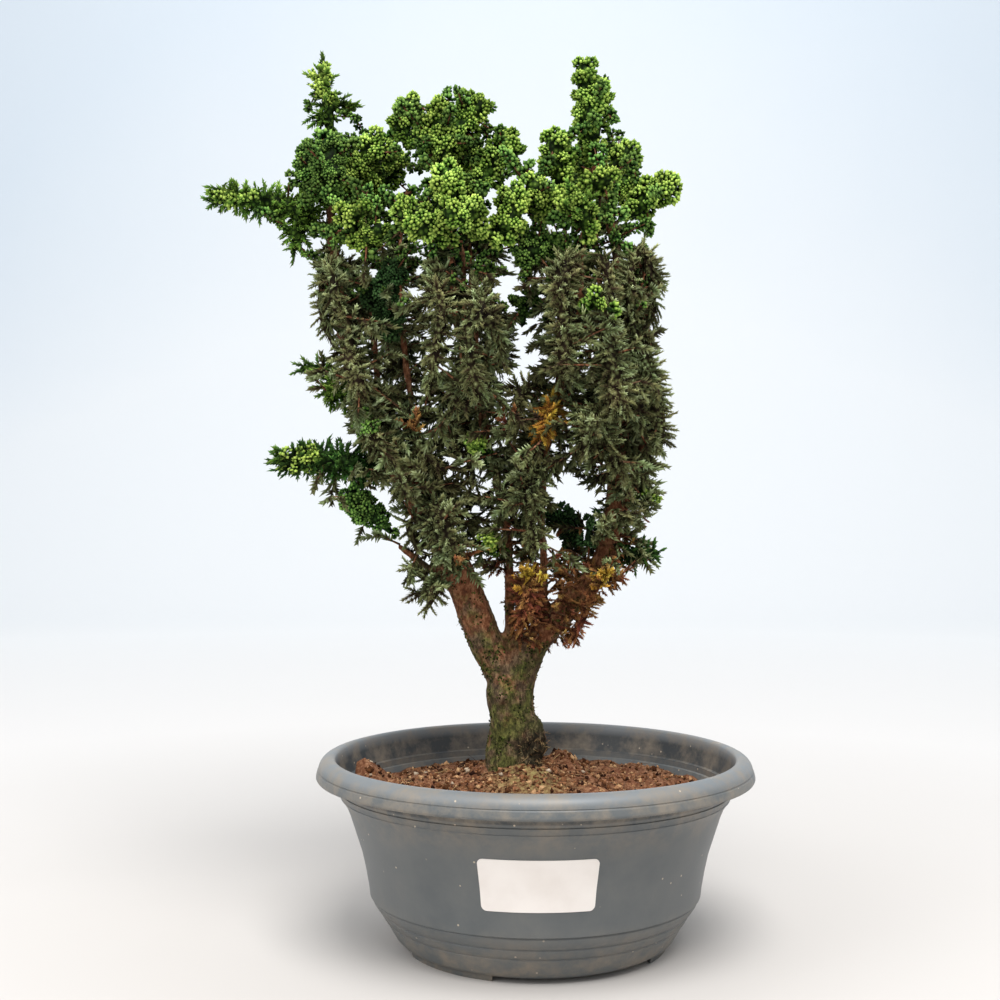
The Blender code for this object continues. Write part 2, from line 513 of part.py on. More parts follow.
# Each leafy branch: its kind, then the routes of its leafy stems as (x, y, z, radius), in millimetres. The
# first route starts on the wood, and each other one on the routes before it.
BRANCHES = {
    "left_spire": ("lime", [
        [(-122, 0, 459, 2), (-122, 0, 479, 4), (-123, -1, 496, 4), (-126, -2, 510, 4), (-129, -2, 520, 2.5)],
        [(-122, -1, 495, 2), (-113, -4, 498, 3.5), (-105, -5, 493, 2.5)],
        [(-125, -1, 504, 2), (-135, 2, 507, 3)],
        [(-122, 0, 490, 2), (-134, -4, 487, 3)],
    ]),
    "left_body": ("green", [
        [(-119, -8, 433, 2), (-119, -26, 442, 6), (-120, -30, 457, 7), (-116, -24, 471, 5)],
        [(-118, -30, 445, 3), (-109, -38, 446, 5)],
        [(-131, -8, 443, 6), (-136, -8, 460, 6.5), (-134, -6, 472, 4)],
        [(-134, -8, 450, 3), (-141, -8, 455, 5)],
    ]),
    "left_wing": ("lime", [
        [(-126, -2, 423, 2), (-139, -10, 430, 6), (-155, -12, 436, 6.5), (-173, -12, 437, 4), (-188, -12, 438, 2.5), (-194, -12, 435, 1.5)],
        [(-154, -12, 435, 2), (-166, -8, 429, 3.5)],
        [(-138, -10, 418, 5.5), (-147, -12, 413, 5.5)],
        [(-138, -10, 417, 2), (-144, -10, 403, 4)],
    ]),
    "left_tuft": ("lime", [
        [(-119, 4, 441, 2), (-106, 6, 458, 6), (-97, 6, 471, 8), (-94, 5, 482, 5)],
        [(-99, 6, 470, 4), (-86, 2, 467, 6)],
    ]),
    "left_front": ("lime", [
        [(-116, -6, 414, 1.5), (-105, -32, 416, 4.5), (-102, -46, 421, 5), (-91, -52, 423, 4.5)],
        [(-104, -42, 420, 2.5), (-114, -46, 423, 4)],
        [(-102, -30, 406, 5), (-92, -40, 410, 6.5), (-83, -40, 414, 4.5)],
    ]),
    "left_column": ("olive", [
        [(-120, -6, 398, 1.5), (-125, -16, 398, 4), (-127, -18, 384, 4.5), (-124, -18, 369, 4.5), (-120, -16, 354, 3)],
        [(-125, -16, 398, 2), (-113, -34, 395, 4), (-114, -38, 378, 4.5), (-115, -38, 367, 3)],
        [(-105, -28, 366, 4.5), (-104, -32, 353, 4.5)],
        [(-105, -30, 357, 2), (-109, -28, 342, 4), (-103, -32, 329, 5), (-97, -34, 319, 3.5)],
    ]),
    "left_lime_cluster": ("lime", [
        [(-104, -8, 321, 1.5), (-111, -16, 322, 3.5), (-119, -18, 325, 5.5), (-125, -18, 321, 4)],
        [(-117, -18, 322, 2.5), (-119, -18, 315, 3)],
        [(-122, -6, 338, 2.5), (-134, -6, 340, 3.5), (-142, -6, 335, 1.8)],
    ]),
    "left_diagonal_high": ("olive", [
        [(-94, -12, 305, 1.5), (-101, -26, 309, 4.5), (-95, -32, 297, 5.5), (-85, -32, 288, 4)],
        [(-88, -32, 291, 2.5), (-77, -30, 281, 5), (-75, -32, 268, 5.5), (-69, -32, 258, 4)],
    ]),
    "left_diagonal_low": ("olive", [
        [(-63, -12, 255, 1.5), (-57, -26, 264, 4.5), (-53, -30, 252, 5.5), (-51, -30, 239, 5.5), (-44, -28, 221, 4)],
        [(-53, -28, 249, 2.5), (-64, -24, 246, 4.5), (-61, -26, 233, 4.5)],
        [(-72, -22, 254, 2.5), (-76, -10, 249, 4.5), (-73, -12, 236, 4.5), (-63, -14, 226, 3)],
    ]),
    "left_inner": ("olive", [
        [(-71, -10, 288, 1.5), (-66, -26, 290, 4), (-56, -32, 281, 4), (-48, -32, 276, 2.5)],
        [(-72, -26, 304, 4), (-76, -22, 318, 4.5)],
        [(-66, -28, 309, 3), (-58, -28, 318, 4.5)],
    ]),
    "arm_upper": ("green", [
        [(-80, -6, 274, 1.5), (-91, -10, 277, 4.5), (-108, -12, 282, 7), (-126, -12, 282, 7), (-141, -12, 284, 5), (-154, -12, 281, 3)],
        [(-93, -10, 276, 2.5), (-92, -8, 269, 4)],
    ]),
    "arm_lower": ("green", [
        [(-83, -8, 236, 2), (-91, -10, 248, 5.5), (-102, -12, 258, 7.5), (-114, -12, 265, 6.5)],
        [(-94, -10, 251, 2.5), (-108, -8, 248, 4)],
    ]),
    "arm_foot": ("olive", [
        [(-67, -10, 221, 1.5), (-76, -14, 226, 4), (-84, -12, 229, 3)],
        [(-73, -12, 223, 2), (-64, -18, 212, 5), (-53, -18, 209, 4)],
        [(-59, -8, 200, 3), (-68, -8, 194, 2.5)],
        [(-56, -7, 201, 1.5), (-65, -8, 208, 3.5), (-75, -8, 205, 2.5)],
    ]),
    "mid_top": ("lime", [
        [(-52, 2, 455, 2), (-55, 2, 471, 6.5), (-58, 2, 489, 8), (-54, 2, 500, 5)],
        [(-54, 2, 471, 4), (-41, 8, 487, 7), (-38, 8, 506, 5.5)],
        [(-39, 8, 494, 4), (-28, 6, 497, 4.5)],
        [(-80, 8, 476, 5.5), (-77, 6, 492, 7.5), (-73, 6, 503, 4.5)],
        [(-78, 6, 484, 3), (-86, 4, 492, 4.5)],
    ]),
    "mid_top_right": ("lime", [
        [(-46, 6, 432, 1.5), (-33, 10, 451, 5), (-21, 12, 470, 7.5), (-10, 12, 480, 5)],
        [(-21, 12, 468, 3), (-11, 8, 464, 5)],
    ]),
    "mid_pad": ("lime", [
        [(-44, -46, 398, 1.5), (-55, -56, 407, 5), (-66, -60, 417, 8), (-77, -60, 421, 5)],
        [(-66, -60, 415, 4), (-68, -64, 404, 5)],
        [(-47, -58, 422, 6), (-49, -62, 435, 8), (-46, -58, 444, 5.5)],
        [(-33, -62, 409, 5), (-38, -76, 415, 7.5), (-51, -78, 413, 6)],
        [(-35, -70, 414, 4), (-26, -74, 418, 6)],
        [(-19, -52, 404, 5), (-11, -58, 420, 8), (-15, -54, 433, 5.5)],
        [(-13, -58, 416, 4), (-20, -66, 407, 5)],
    ]),
    "curtain_left": ("olive", [
        [(-44, -44, 387, 1.5), (-54, -54, 391, 4), (-59, -56, 378, 4.5), (-59, -56, 364, 4)],
        [(-56, -54, 386, 2), (-49, -62, 369, 4.5), (-52, -64, 353, 4.5), (-57, -62, 339, 4)],
        [(-56, -62, 341, 2), (-54, -60, 327, 4), (-61, -58, 319, 3)],
    ]),
    "curtain_right": ("olive", [
        [(-36, -42, 376, 1.5), (-31, -58, 380, 4), (-28, -66, 365, 5), (-24, -66, 349, 4)],
        [(-29, -64, 368, 2), (-37, -70, 357, 4), (-37, -72, 340, 4.5), (-33, -70, 325, 4), (-28, -66, 313, 3)],
    ]),
    "curtain_low": ("olive", [
        [(-38, -20, 339, 1.5), (-44, -42, 334, 4), (-46, -48, 319, 4.5), (-41, -48, 308, 3)],
        [(-43, -42, 331, 2), (-29, -44, 331, 4), (-24, -48, 317, 4)],
    ]),
    "inner_high": ("dark", [
        [(-78, 0, 352, 1.5), (-86, -14, 361, 5), (-90, -18, 376, 6), (-87, -20, 391, 5)],
        [(-89, -18, 376, 3), (-100, -18, 383, 5)],
        [(-87, -20, 385, 3), (-76, -28, 396, 5.5)],
    ]),
    "inner_mid": ("olive", [
        [(-30, -6, 295, 1.5), (-42, -22, 285, 4.5), (-52, -28, 294, 4)],
        [(-39, -20, 287, 2), (-31, -26, 274, 4.5), (-37, -26, 263, 4)],
    ]),
    "mid_green": ("green", [
        [(-22, -4, 279, 1.5), (-30, -26, 288, 4), (-39, -32, 294, 4)],
    ]),
    "low_green": ("green", [
        [(-17, -3, 224, 1.5), (-24, -18, 232, 4.5), (-30, -24, 237, 4)],
    ]),
    "green_high": ("green", [
        [(16, -4, 405, 1.5), (7, -24, 404, 4.5), (-4, -32, 404, 6), (-12, -34, 397, 4)],
        [(-2, -32, 402, 3), (-6, -30, 389, 4.5)],
    ]),
    "green_mid": ("green", [
        [(16, -2, 375, 1.5), (4, -18, 371, 4), (-8, -28, 378, 5.5), (-16, -28, 372, 4)],
        [(-6, -26, 374, 2.5), (-8, -24, 357, 4.5)],
    ]),
    "mid_hang": ("olive", [
        [(10, -4, 318, 1.5), (1, -22, 327, 4.5), (-8, -28, 329, 4.5), (-14, -32, 318, 4)],
        [(-5, -26, 328, 2), (-11, -32, 305, 4.5), (-18, -32, 296, 3.5)],
    ]),
    "gold": ("gold", [
        [(10, -4, 310, 1.5), (10, -34, 315, 4), (7, -44, 304, 4.5), (4, -44, 291, 3.5)],
    ]),
    "low_hang": ("olive", [
        [(5, -4, 273, 1.5), (0, -28, 281, 4), (-3, -38, 266, 5), (-4, -38, 252, 4)],
        [(-2, -34, 259, 2), (-2, -34, 242, 4.5), (1, -30, 228, 3)],
        [(-15, -22, 259, 4.5), (-20, -28, 272, 4)],
        [(-17, -22, 257, 2), (-22, -26, 247, 4)],
    ]),
    "right_spire": ("lime", [
        [(34, 2, 467, 2), (34, 0, 480, 6.5), (33, 0, 498, 8.5), (31, 0, 512, 6.5), (27, 0, 521, 3.5)],
        [(34, 0, 490, 4), (46, -2, 501, 6)],
        [(34, 0, 476, 3), (25, 4, 494, 4.5)],
    ]),
    "right_front_left": ("lime", [
        [(16, 0, 445, 1.5), (15, -6, 456, 6), (9, -8, 465, 7), (15, -6, 477, 5)],
        [(8, -30, 427, 5), (3, -44, 432, 7), (-3, -44, 441, 5)],
    ]),
    "right_shoulder": ("lime", [
        [(39, 4, 452, 1.5), (49, 6, 461, 5), (60, 6, 472, 6)],
        [(39, -24, 437, 4.5), (40, -32, 445, 6.5), (48, -30, 449, 4)],
        [(39, -28, 438, 3), (29, -30, 443, 5)],
    ]),
    "right_lobe_far": ("lime", [
        [(46, 4, 420, 1.5), (61, 4, 434, 5), (75, 2, 447, 8), (86, 0, 445, 4.5)],
        [(72, 2, 445, 4), (69, -4, 434, 4.5)],
    ]),
    "right_front_lime": ("lime", [
        [(28, -40, 407, 1.5), (31, -50, 417, 5.5), (25, -54, 424, 7.5), (15, -54, 422, 5)],
    ]),
    "right_column_left": ("olive", [
        [(26, -40, 390, 1.5), (17, -52, 400, 4), (15, -56, 383, 5), (14, -54, 368, 4.5)],
        [(15, -54, 376, 2), (17, -52, 354, 4.5), (15, -52, 337, 5), (22, -50, 323, 4)],
    ]),
    "right_column_mid": ("olive", [
        [(30, -40, 394, 1.5), (40, -48, 401, 4), (43, -52, 387, 4.5), (42, -50, 373, 4)],
        [(42, -50, 379, 2), (40, -50, 354, 4.5), (43, -54, 336, 5), (46, -54, 319, 4.5), (49, -50, 305, 3.5)],
    ]),
    "right_column_edge": ("olive", [
        [(62, -6, 405, 1.5), (63, -12, 414, 4), (67, -14, 399, 4.5), (69, -14, 379, 4.5), (68, -12, 364, 3.5)],
        [(62, -10, 410, 2), (54, -20, 397, 4.5), (56, -22, 375, 4.5), (56, -20, 358, 4)],
        [(67, -14, 337, 4.5), (70, -16, 319, 5), (71, -16, 300, 4.5), (72, -14, 289, 3.5)],
        [(66, -14, 334, 2), (57, -26, 333, 4.5), (59, -30, 314, 4.5), (61, -30, 296, 4)],
    ]),
    "right_column_low": ("olive", [
        [(45, -14, 307, 1.5), (35, -38, 314, 4.5), (30, -46, 298, 5.5), (29, -44, 283, 4.5)],
        [(36, -38, 311, 2), (42, -44, 289, 4.5), (47, -42, 274, 3.5)],
        [(57, -18, 282, 4.5), (64, -22, 273, 4.5), (70, -20, 264, 3)],
    ]),
    "right_lime_spot": ("lime", [
        [(31, -38, 362, 1.5), (33, -62, 369, 4), (37, -66, 372, 3.5)],
        [(33, -58, 366, 1.5), (47, -62, 361, 3.5)],
    ]),
    "right_low_bright": ("lime", [
        [(53, -4, 256, 1.5), (59, -14, 263, 4), (67, -18, 261, 4.5), (73, -18, 254, 3)],
    ]),
    "right_low_dark": ("dark", [
        [(44, 2, 250, 1.5), (34, -4, 256, 4), (31, -8, 243, 4.5), (32, -12, 230, 3)],
    ]),
    "right_low_spray": ("green", [
        [(42, -4, 224, 1.5), (51, -8, 229, 4), (63, -8, 231, 5.5), (75, -8, 227, 3.5)],
        [(54, -8, 228, 2), (60, -8, 216, 3.5)],
    ]),
    "back_low_green": ("dark", [
        [(7, 8, 242, 1.5), (13, 20, 253, 5), (22, 26, 248, 6.5), (24, 24, 231, 4)],
    ]),
    "dead_right": ("dead", [
        [(34, -8, 208, 1.5), (39, -16, 214, 4.5), (48, -18, 218, 4.5), (53, -16, 212, 3)],
        [(25, -12, 185, 5), (20, -12, 176, 4)],
    ]),
    "dead_crotch": ("dead", [
        [(4, -6, 192, 1.5), (-3, -16, 199, 6), (-7, -18, 212, 7), (1, -18, 221, 5)],
        [(-5, -16, 199, 3), (-11, -14, 182, 5)],
    ]),
    "back_left_top": ("lime", [
        [(-110, 44, 437, 1.5), (-119, 50, 459, 7.5), (-116, 44, 479, 7.5)],
        [(-117, 50, 459, 4), (-95, 56, 465, 8), (-86, 50, 480, 6)],
        [(-106, 58, 458, 4), (-109, 64, 445, 5.5), (-107, 64, 434, 4)],
    ]),
    "back_left_column": ("olive", [
        [(-107, 44, 406, 1.5), (-121, 56, 412, 5), (-126, 60, 395, 6), (-125, 56, 374, 5)],
        [(-123, 56, 409, 3), (-134, 40, 419, 6.5)],
        [(-93, 56, 380, 5.5), (-89, 60, 360, 6.5), (-90, 56, 338, 5)],
        [(-94, 54, 375, 3), (-86, 60, 413, 6), (-91, 58, 431, 6)],
    ]),
    "back_left_low": ("olive", [
        [(-90, 12, 306, 1.5), (-102, 34, 315, 5), (-96, 38, 294, 6.5), (-85, 34, 275, 5)],
        [(-85, 34, 279, 3), (-65, 30, 260, 6), (-57, 26, 239, 5)],
    ]),
    "back_mid_top": ("lime", [
        [(-45, 54, 464, 1.5), (-55, 58, 477, 7.5), (-61, 50, 492, 7)],
        [(-53, 56, 476, 4), (-35, 62, 485, 8), (-25, 66, 469, 6)],
        [(-47, 62, 470, 4), (-47, 66, 456, 5.5), (-45, 66, 445, 4)],
    ]),
    "back_mid_column": ("olive", [
        [(-46, 54, 425, 1.5), (-57, 68, 434, 5.5), (-62, 74, 414, 6.5), (-60, 70, 390, 5.5)],
        [(-59, 68, 428, 3), (-33, 70, 434, 6.5), (-24, 70, 415, 6)],
    ]),
    "back_mid_low": ("olive", [
        [(-35, 42, 374, 1.5), (-25, 62, 385, 5), (-21, 66, 366, 6.5), (-24, 62, 343, 5)],
        [(-24, 62, 360, 3), (-42, 56, 342, 6), (-48, 50, 317, 6), (-46, 42, 294, 5)],
    ]),
    "back_low": ("olive", [
        [(6, 4, 282, 1.5), (-3, 30, 297, 5), (-9, 38, 279, 6.5), (-8, 34, 255, 5)],
        [(-4, 30, 296, 3), (7, 44, 323, 6)],
    ]),
    "back_right_top": ("lime", [
        [(37, 56, 449, 1.5), (30, 56, 467, 7.5), (31, 46, 483, 7)],
        [(31, 56, 465, 4), (54, 58, 465, 8), (67, 52, 449, 6)],
        [(42, 62, 458, 4), (46, 66, 444, 5.5), (45, 66, 431, 4)],
    ]),
    "back_right_column": ("olive", [
        [(39, 58, 410, 1.5), (27, 72, 419, 5.5), (23, 76, 399, 6.5), (24, 72, 373, 5.5)],
        [(25, 70, 415, 3), (13, 68, 430, 5.5), (-1, 66, 426, 5.5), (-4, 65, 407, 5)],
    ]),
    "back_right_edge": ("olive", [
        [(48, 52, 379, 1.5), (60, 64, 392, 5.5), (64, 66, 370, 6.5), (62, 60, 344, 5)],
        [(61, 62, 389, 3), (66, 52, 412, 5), (72, 40, 410, 5), (73, 33, 389, 4.5)],
    ]),
    "back_right_low": ("olive", [
        [(46, 32, 325, 1.5), (36, 54, 335, 5.5), (33, 58, 315, 6.5), (36, 52, 291, 5)],
        [(38, 52, 331, 3), (63, 48, 317, 6), (67, 42, 295, 6), (62, 34, 273, 4.5)],
    ]),
}


def route_of(points):
    """A smooth route at a close even spacing, with its length so far as a fifth column."""
    fine = smooth_route(points, 1.5)
    steps = np.linalg.norm(np.diff(fine[:, :3], axis=0), axis=1)
    return np.column_stack([fine, np.concatenate([[0], np.cumsum(steps)])])


def tree_of(meshes):
    """One search tree over several meshes, with both ways of splitting each four-sided face."""
    verts = []
    faces = []
    for mesh in meshes:
        start = len(verts)
        verts += [vert.co for vert in mesh.vertices]
        for face in mesh.polygons:
            corners = [start + i for i in face.vertices]
            if len(corners) == 4:
                faces += [[corners[i - 1], corners[i], corners[(i + 1) % 4]] for i in range(4)]
            else:
                faces.append(corners)
    return BVHTree.FromPolygons(verts, faces)


def plan_routes(wood_tree):
    """The routes of every branch, rooted just clear of the wood or inside the branch's own stems."""
    plans = {}
    for name, (kind, paths) in BRANCHES.items():
        routes = []
        for path in paths:
            widened = [(x, y, z, radius * KINDS[kind][3]) for x, y, z, radius in path]
            first = Vector(path[0][:3])
            if routes:
                earlier = np.vstack([routes[0][routes[0][:, 4] > BARE_LENGTH], *routes[1:]])
                away = np.linalg.norm(earlier[:, :3] - np.array(first), axis=1)
                x, y, z, radius = earlier[away.argmin(), :4]
                start = [(x, y, z, max(1.0, 0.5 * radius))]
            else:
                second = Vector(path[1][:3])
                probe = first + (second - first).normalized() * min(8, (second - first).length)
                spot = wood_tree.find_nearest(probe * MM)[0] / MM
                heading = (probe - spot).normalized()
                start = [(*(spot + heading * ROOT_GAP), ROOT_RADIUS)]
                start.append((*(spot + heading * (ROOT_GAP + 3)), ROOT_RADIUS))
                widened = widened[1:]
            routes.append(route_of(start + widened))
        plans[name] = routes
    return plans


def keep_apart(plans, wood_tree):
    """Narrows each leafy stem where it passes near the wood or another branch."""
    for name, routes in plans.items():
        others = np.vstack([route for other, more in plans.items() if other != name for route in more])
        for index, route in enumerate(routes):
            spaces = np.linalg.norm(route[:, None, :3] - others[None, :, :3], axis=2)
            limit = spaces.min(axis=1) / 2 - CORE_CLEARANCE / 2
            for i, row in enumerate(route):
                if index > 0 or row[4] > BARE_LENGTH:
                    to_wood = wood_tree.find_nearest(Vector(row[:3]) * MM)[3] / MM
                    limit[i] = min(limit[i], to_wood - CORE_CLEARANCE)
            reach = round(0.55 * KINDS[BRANCHES[name][0]][4] / 1.5)
            least = [limit[max(0, i - reach):i + reach + 1].min() for i in range(len(route))]
            route[:, 3] = np.minimum(route[:, 3], np.maximum(least, THINNEST))


def rings_of(route, spacing):
    """The rings of a leafy stem, at an even spacing."""
    length = route[-1, 4]
    places = np.linspace(0, length, max(1, round(length / spacing)) + 1)
    rings = np.column_stack([np.interp(places, route[:, 4], route[:, k]) for k in range(4)])
    for before, ring, after in zip(rings, rings[1:], rings[2:]):
        turn = Vector(ring[:3] - before[:3]).angle(Vector(after[:3] - ring[:3]))
        ring[3] = min(ring[3], 0.42 * places[1] / math.tan(max(0.05, turn / 2)))
    return rings


def tip_is_clear(corners, tip, neighbours, own):
    """Whether a leaf tip keeps clear of the pieces round it, and of the stem that it stands on."""
    faces = [(i, (i + 1) % len(corners), len(corners)) for i in range(len(corners))]
    spire = BVHTree.FromPolygons([*corners, tip], faces)
    for tree in neighbours:
        for corner in corners:
            for share in (0.15, 0.3, 0.45, 0.6, 0.8, 1.0):
                if tree.find_nearest(corner.lerp(tip, share), LEAF_CLEARANCE * MM)[0]:
                    return False
        if spire.overlap(tree):
            return False
    upper = [corner.lerp(tip, 0.15) for corner in corners]
    return not BVHTree.FromPolygons([*upper, tip], faces).overlap(own)


def add_tips(mesh, rings, kind, neighbours, chance):
    """Raises a leaf tip, as long as there is room for it, on each face of a leafy stem."""
    length, lean = KINDS[kind][1:3]
    centres = rings[:, :3] * MM

    def raise_tips(bm):
        for face in list(bm.faces):
            middle = face.calc_center_median()
            away = np.linalg.norm(centres - np.array(middle), axis=1)
            first, second = np.sort(np.argsort(away)[:2])
            radius = min(rings[first, 3], rings[second, 3])
            if radius < LEAST_LEAFY:
                continue
            outward = face.normal.normalized()
            scatter = Vector([chance.uniform(-0.22, 0.22) for _ in range(3)])
            heading = (outward + Vector((0, 0, lean)) + scatter).normalized()
            reach = length * (0.62 + 0.09 * min(radius, 5)) * chance.uniform(0.8, 1.2)
            corners = [vert.co.copy() for vert in face.verts]
            own = BVHTree.FromBMesh(bm)
            for share in (1, 0.8, 0.6, 0.45):
                tip = middle + heading * reach * share * MM
                if tip_is_clear(corners, tip, neighbours, own):
                    top = bmesh.ops.poke(bm, faces=[face])["verts"][0]
                    top.co = tip
                    break

    edit(mesh, raise_tips)


def make_branches(plant, wood):
    wood_tree = tree_of([wood.data])
    plans = plan_routes(wood_tree)
    keep_apart(plans, wood_tree)
    stems = {}
    for name, routes in plans.items():
        stems[name] = []
        for route in routes:
            rings = rings_of(route, KINDS[BRANCHES[name][0]][4])
            sides = 6 if rings[:, 3].max() > WIDE_STEM else 4
            mesh = tube_mesh(rings, sides, plant, twist=math.pi / sides)
            stems[name].append((mesh, rings))
    materials = {kind: finish_material(kind + " leaves", KINDS[kind][0], 0.6) for kind in KINDS}
    chance = random.Random(7)
    for name, pieces in stems.items():
        kind = BRANCHES[name][0]
        others = [mesh for other, rest in stems.items() if other != name for mesh, _ in rest]
        neighbours = [tree_of([wood.data] + others)]
        for mesh, rings in pieces:
            own = [tree_of([other for other, _ in pieces if other is not mesh])]
            add_tips(mesh, rings, kind, neighbours + own * (len(pieces) > 1), chance)
    for name, pieces in stems.items():
        branch = fuse(name, [mesh for mesh, _ in pieces], plant)
        paint(branch, materials[BRANCHES[name][0]])


def stand_on_the_middle():
    """Moves the whole plant so that the ground below the middle of its box is the origin."""
    bpy.context.view_layer.update()
    graph = bpy.context.evaluated_depsgraph_get()
    low = Vector((1, 1, 1))
    high = -low
    for obj in bpy.context.scene.objects:
        if obj.type == "MESH" and not obj.hide_render:
            placed = obj.evaluated_get(graph)
            for vert in placed.data.vertices:
                place = placed.matrix_world @ vert.co
                for k in range(3):
                    low[k] = min(low[k], place[k])
                    high[k] = max(high[k], place[k])
    for obj in bpy.context.scene.objects:
        obj.location.x -= (low.x + high.x) / 2
        obj.location.y -= (low.y + high.y) / 2


def main():
    clear_scene()
    plant = new_collection("hinoki_cypress_bonsai")
    make_branches(plant, make_wood(plant))
    make_pot(plant)
    make_soil(plant)
    make_label(plant)
    stand_on_the_middle()


main()
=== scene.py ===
# %% [markdown]
# # A hinoki cypress bonsai in a plastic bowl
#
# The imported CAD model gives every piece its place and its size. This file dresses it: a smoothly turned
# bowl, crumbly peat, bark, and thousands of small leaf sprigs in place of the plain leafy branches.
# Lengths below are in millimetres and become metres where a shape is made.

# %% Tools and the CAD frame
import json
import math
from functools import partial

import bmesh
import bpy
import numpy as np
from mathutils import Matrix, Vector, noise
from mathutils.bvhtree import BVHTree

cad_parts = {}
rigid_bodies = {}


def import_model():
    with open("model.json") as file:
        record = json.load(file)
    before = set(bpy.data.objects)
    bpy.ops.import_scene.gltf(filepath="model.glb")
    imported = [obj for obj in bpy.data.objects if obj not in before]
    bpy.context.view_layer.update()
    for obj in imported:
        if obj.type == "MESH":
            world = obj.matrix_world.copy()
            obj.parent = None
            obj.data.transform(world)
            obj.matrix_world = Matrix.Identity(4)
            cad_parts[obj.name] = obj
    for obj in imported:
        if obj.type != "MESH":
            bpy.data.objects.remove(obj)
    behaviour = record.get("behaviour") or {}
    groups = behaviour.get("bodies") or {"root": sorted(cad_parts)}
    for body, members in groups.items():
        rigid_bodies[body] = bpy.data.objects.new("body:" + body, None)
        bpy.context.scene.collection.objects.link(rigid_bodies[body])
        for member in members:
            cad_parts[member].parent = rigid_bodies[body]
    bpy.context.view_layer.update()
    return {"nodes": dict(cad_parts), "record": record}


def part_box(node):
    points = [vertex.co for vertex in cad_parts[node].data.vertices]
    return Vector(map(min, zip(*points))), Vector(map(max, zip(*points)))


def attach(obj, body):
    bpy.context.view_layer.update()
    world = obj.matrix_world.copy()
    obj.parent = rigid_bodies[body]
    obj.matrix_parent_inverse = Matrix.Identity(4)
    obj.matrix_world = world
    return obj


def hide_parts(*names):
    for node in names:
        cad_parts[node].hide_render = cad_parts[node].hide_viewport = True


MM = 0.001
UP = Vector((0, 0, 1))


def add_object(name, data):
    """A new object in the scene."""
    obj = bpy.data.objects.new(name, data)
    bpy.context.scene.collection.objects.link(obj)
    return obj


for leftover in list(bpy.data.objects):
    bpy.data.objects.remove(leftover)
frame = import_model()
nodes = frame["nodes"]
slots = {part["node"]: part["material_slot"] for part in frame["record"]["subparts"]}

# %% [markdown]
# ## Camera
#
# The photograph was taken from level with the lower crown, about 80 cm away, so the camera stands in front
# of the bowl's axis and looks very slightly up. The axis is the middle of the bowl's own box.

# %% Camera
pot_low, pot_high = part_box("pot")
axis = Vector(((pot_low.x + pot_high.x) / 2, (pot_low.y + pot_high.y) / 2, 0))
camera = add_object("camera", bpy.data.cameras.new("camera"))
camera.data.lens = 48.6
camera.data.sensor_width = 36
camera.location = axis + Vector((0, -0.803, 0.2493))
camera.rotation_euler = (math.radians(90) + 0.0131, 0, 0.0257)
bpy.context.scene.camera = camera
bpy.context.scene.view_settings.view_transform = "Standard"
print("bowl axis", tuple(round(v, 5) for v in axis))

# %% [markdown]
# ## Small helpers
#
# A picture's colours are sRGB numbers and a shader works with linear ones, so one function turns them.
# One other function adds a shader node: it sets the node's own settings, then fills or links its inputs,
# by name or in the order in which the node shows them. A node that maps a range takes the value, the two
# ends of the range, and then the two ends that it maps to.

# %% Colour and node helpers
def linear(code):
    """An sRGB hex colour as linear numbers."""
    shares = [int(code[i:i + 2], 16) / 255 for i in (1, 3, 5)]
    return (*[s / 12.92 if s <= 0.04045 else ((s + 0.055) / 1.055) ** 2.4 for s in shares], 1.0)


def shown(sockets):
    """The inputs or outputs that a node shows with its present settings."""
    return [socket for socket in sockets if socket.enabled]


def fill(node, inputs):
    """Fills a node's inputs, in their order or by name. An input is a value, an output to link, or a
    node, for its first output."""
    if isinstance(inputs, dict):
        pairs = [(node.inputs[name], value) for name, value in inputs.items()]
    else:
        pairs = zip(shown(node.inputs), inputs)
    for socket, value in pairs:
        if isinstance(value, bpy.types.Node):
            value = shown(value.outputs)[0]
        if isinstance(value, bpy.types.NodeSocket):
            node.id_data.links.new(value, socket)
        else:
            socket.default_value = value


def add_node(tree, kind, inputs=(), stops=(), **settings):
    """Adds a shader node with its settings and inputs. The stops of a colour ramp are pairs of a
    place and an sRGB hex colour."""
    made = tree.nodes.new("ShaderNode" + kind)
    for name, value in settings.items():
        setattr(made, name, value)
    while stops and len(made.color_ramp.elements) < len(stops):
        made.color_ramp.elements.new(0.5)
    for i, (place, code) in enumerate(stops):
        made.color_ramp.elements[i].position = place
        made.color_ramp.elements[i].color = linear(code)
    fill(made, inputs)
    return made


def start_material(name, roughness, ior, gloss=0.5):
    """A material with only its shader. Returns it, its own add function, which is add_node for its
    tree, its shader, and the place on the object that its patterns read."""
    material = bpy.data.materials.new(name)
    material.use_nodes = True
    material.node_tree.nodes.clear()
    add = partial(add_node, material.node_tree)
    shader = add("BsdfPrincipled", {"Roughness": roughness, "IOR": ior, "Specular IOR Level": gloss})
    add("OutputMaterial", {"Surface": shader})
    return material, add, shader, add("TexCoord").outputs["Object"]


def coat(add, shader, colour, height=None, strength=1.0, distance=0.0):
    """Gives a shader its colour and, where there is a height, a bump. Its distance is in metres."""
    fill(shader, {"Base Color": colour})
    if height:
        bump = add("Bump", {"Height": height, "Strength": strength, "Distance": distance})
        fill(shader, {"Normal": bump})


def growth_shares(add):
    """The three shares that each corner of a copy carries, and whether it is on a sprig."""
    attribute = add("Attribute", attribute_name="growth")
    return *add("SeparateColor", (attribute,)).outputs, attribute.outputs["Alpha"]

# %% [markdown]
# ## Finishing a piece
#
# Every new piece sits at the origin with its place in its mesh, as the CAD nodes do. It rides on the one
# body of the plant and stands for the CAD nodes that it replaces.

# %% Finish a piece
triangle_count = {}


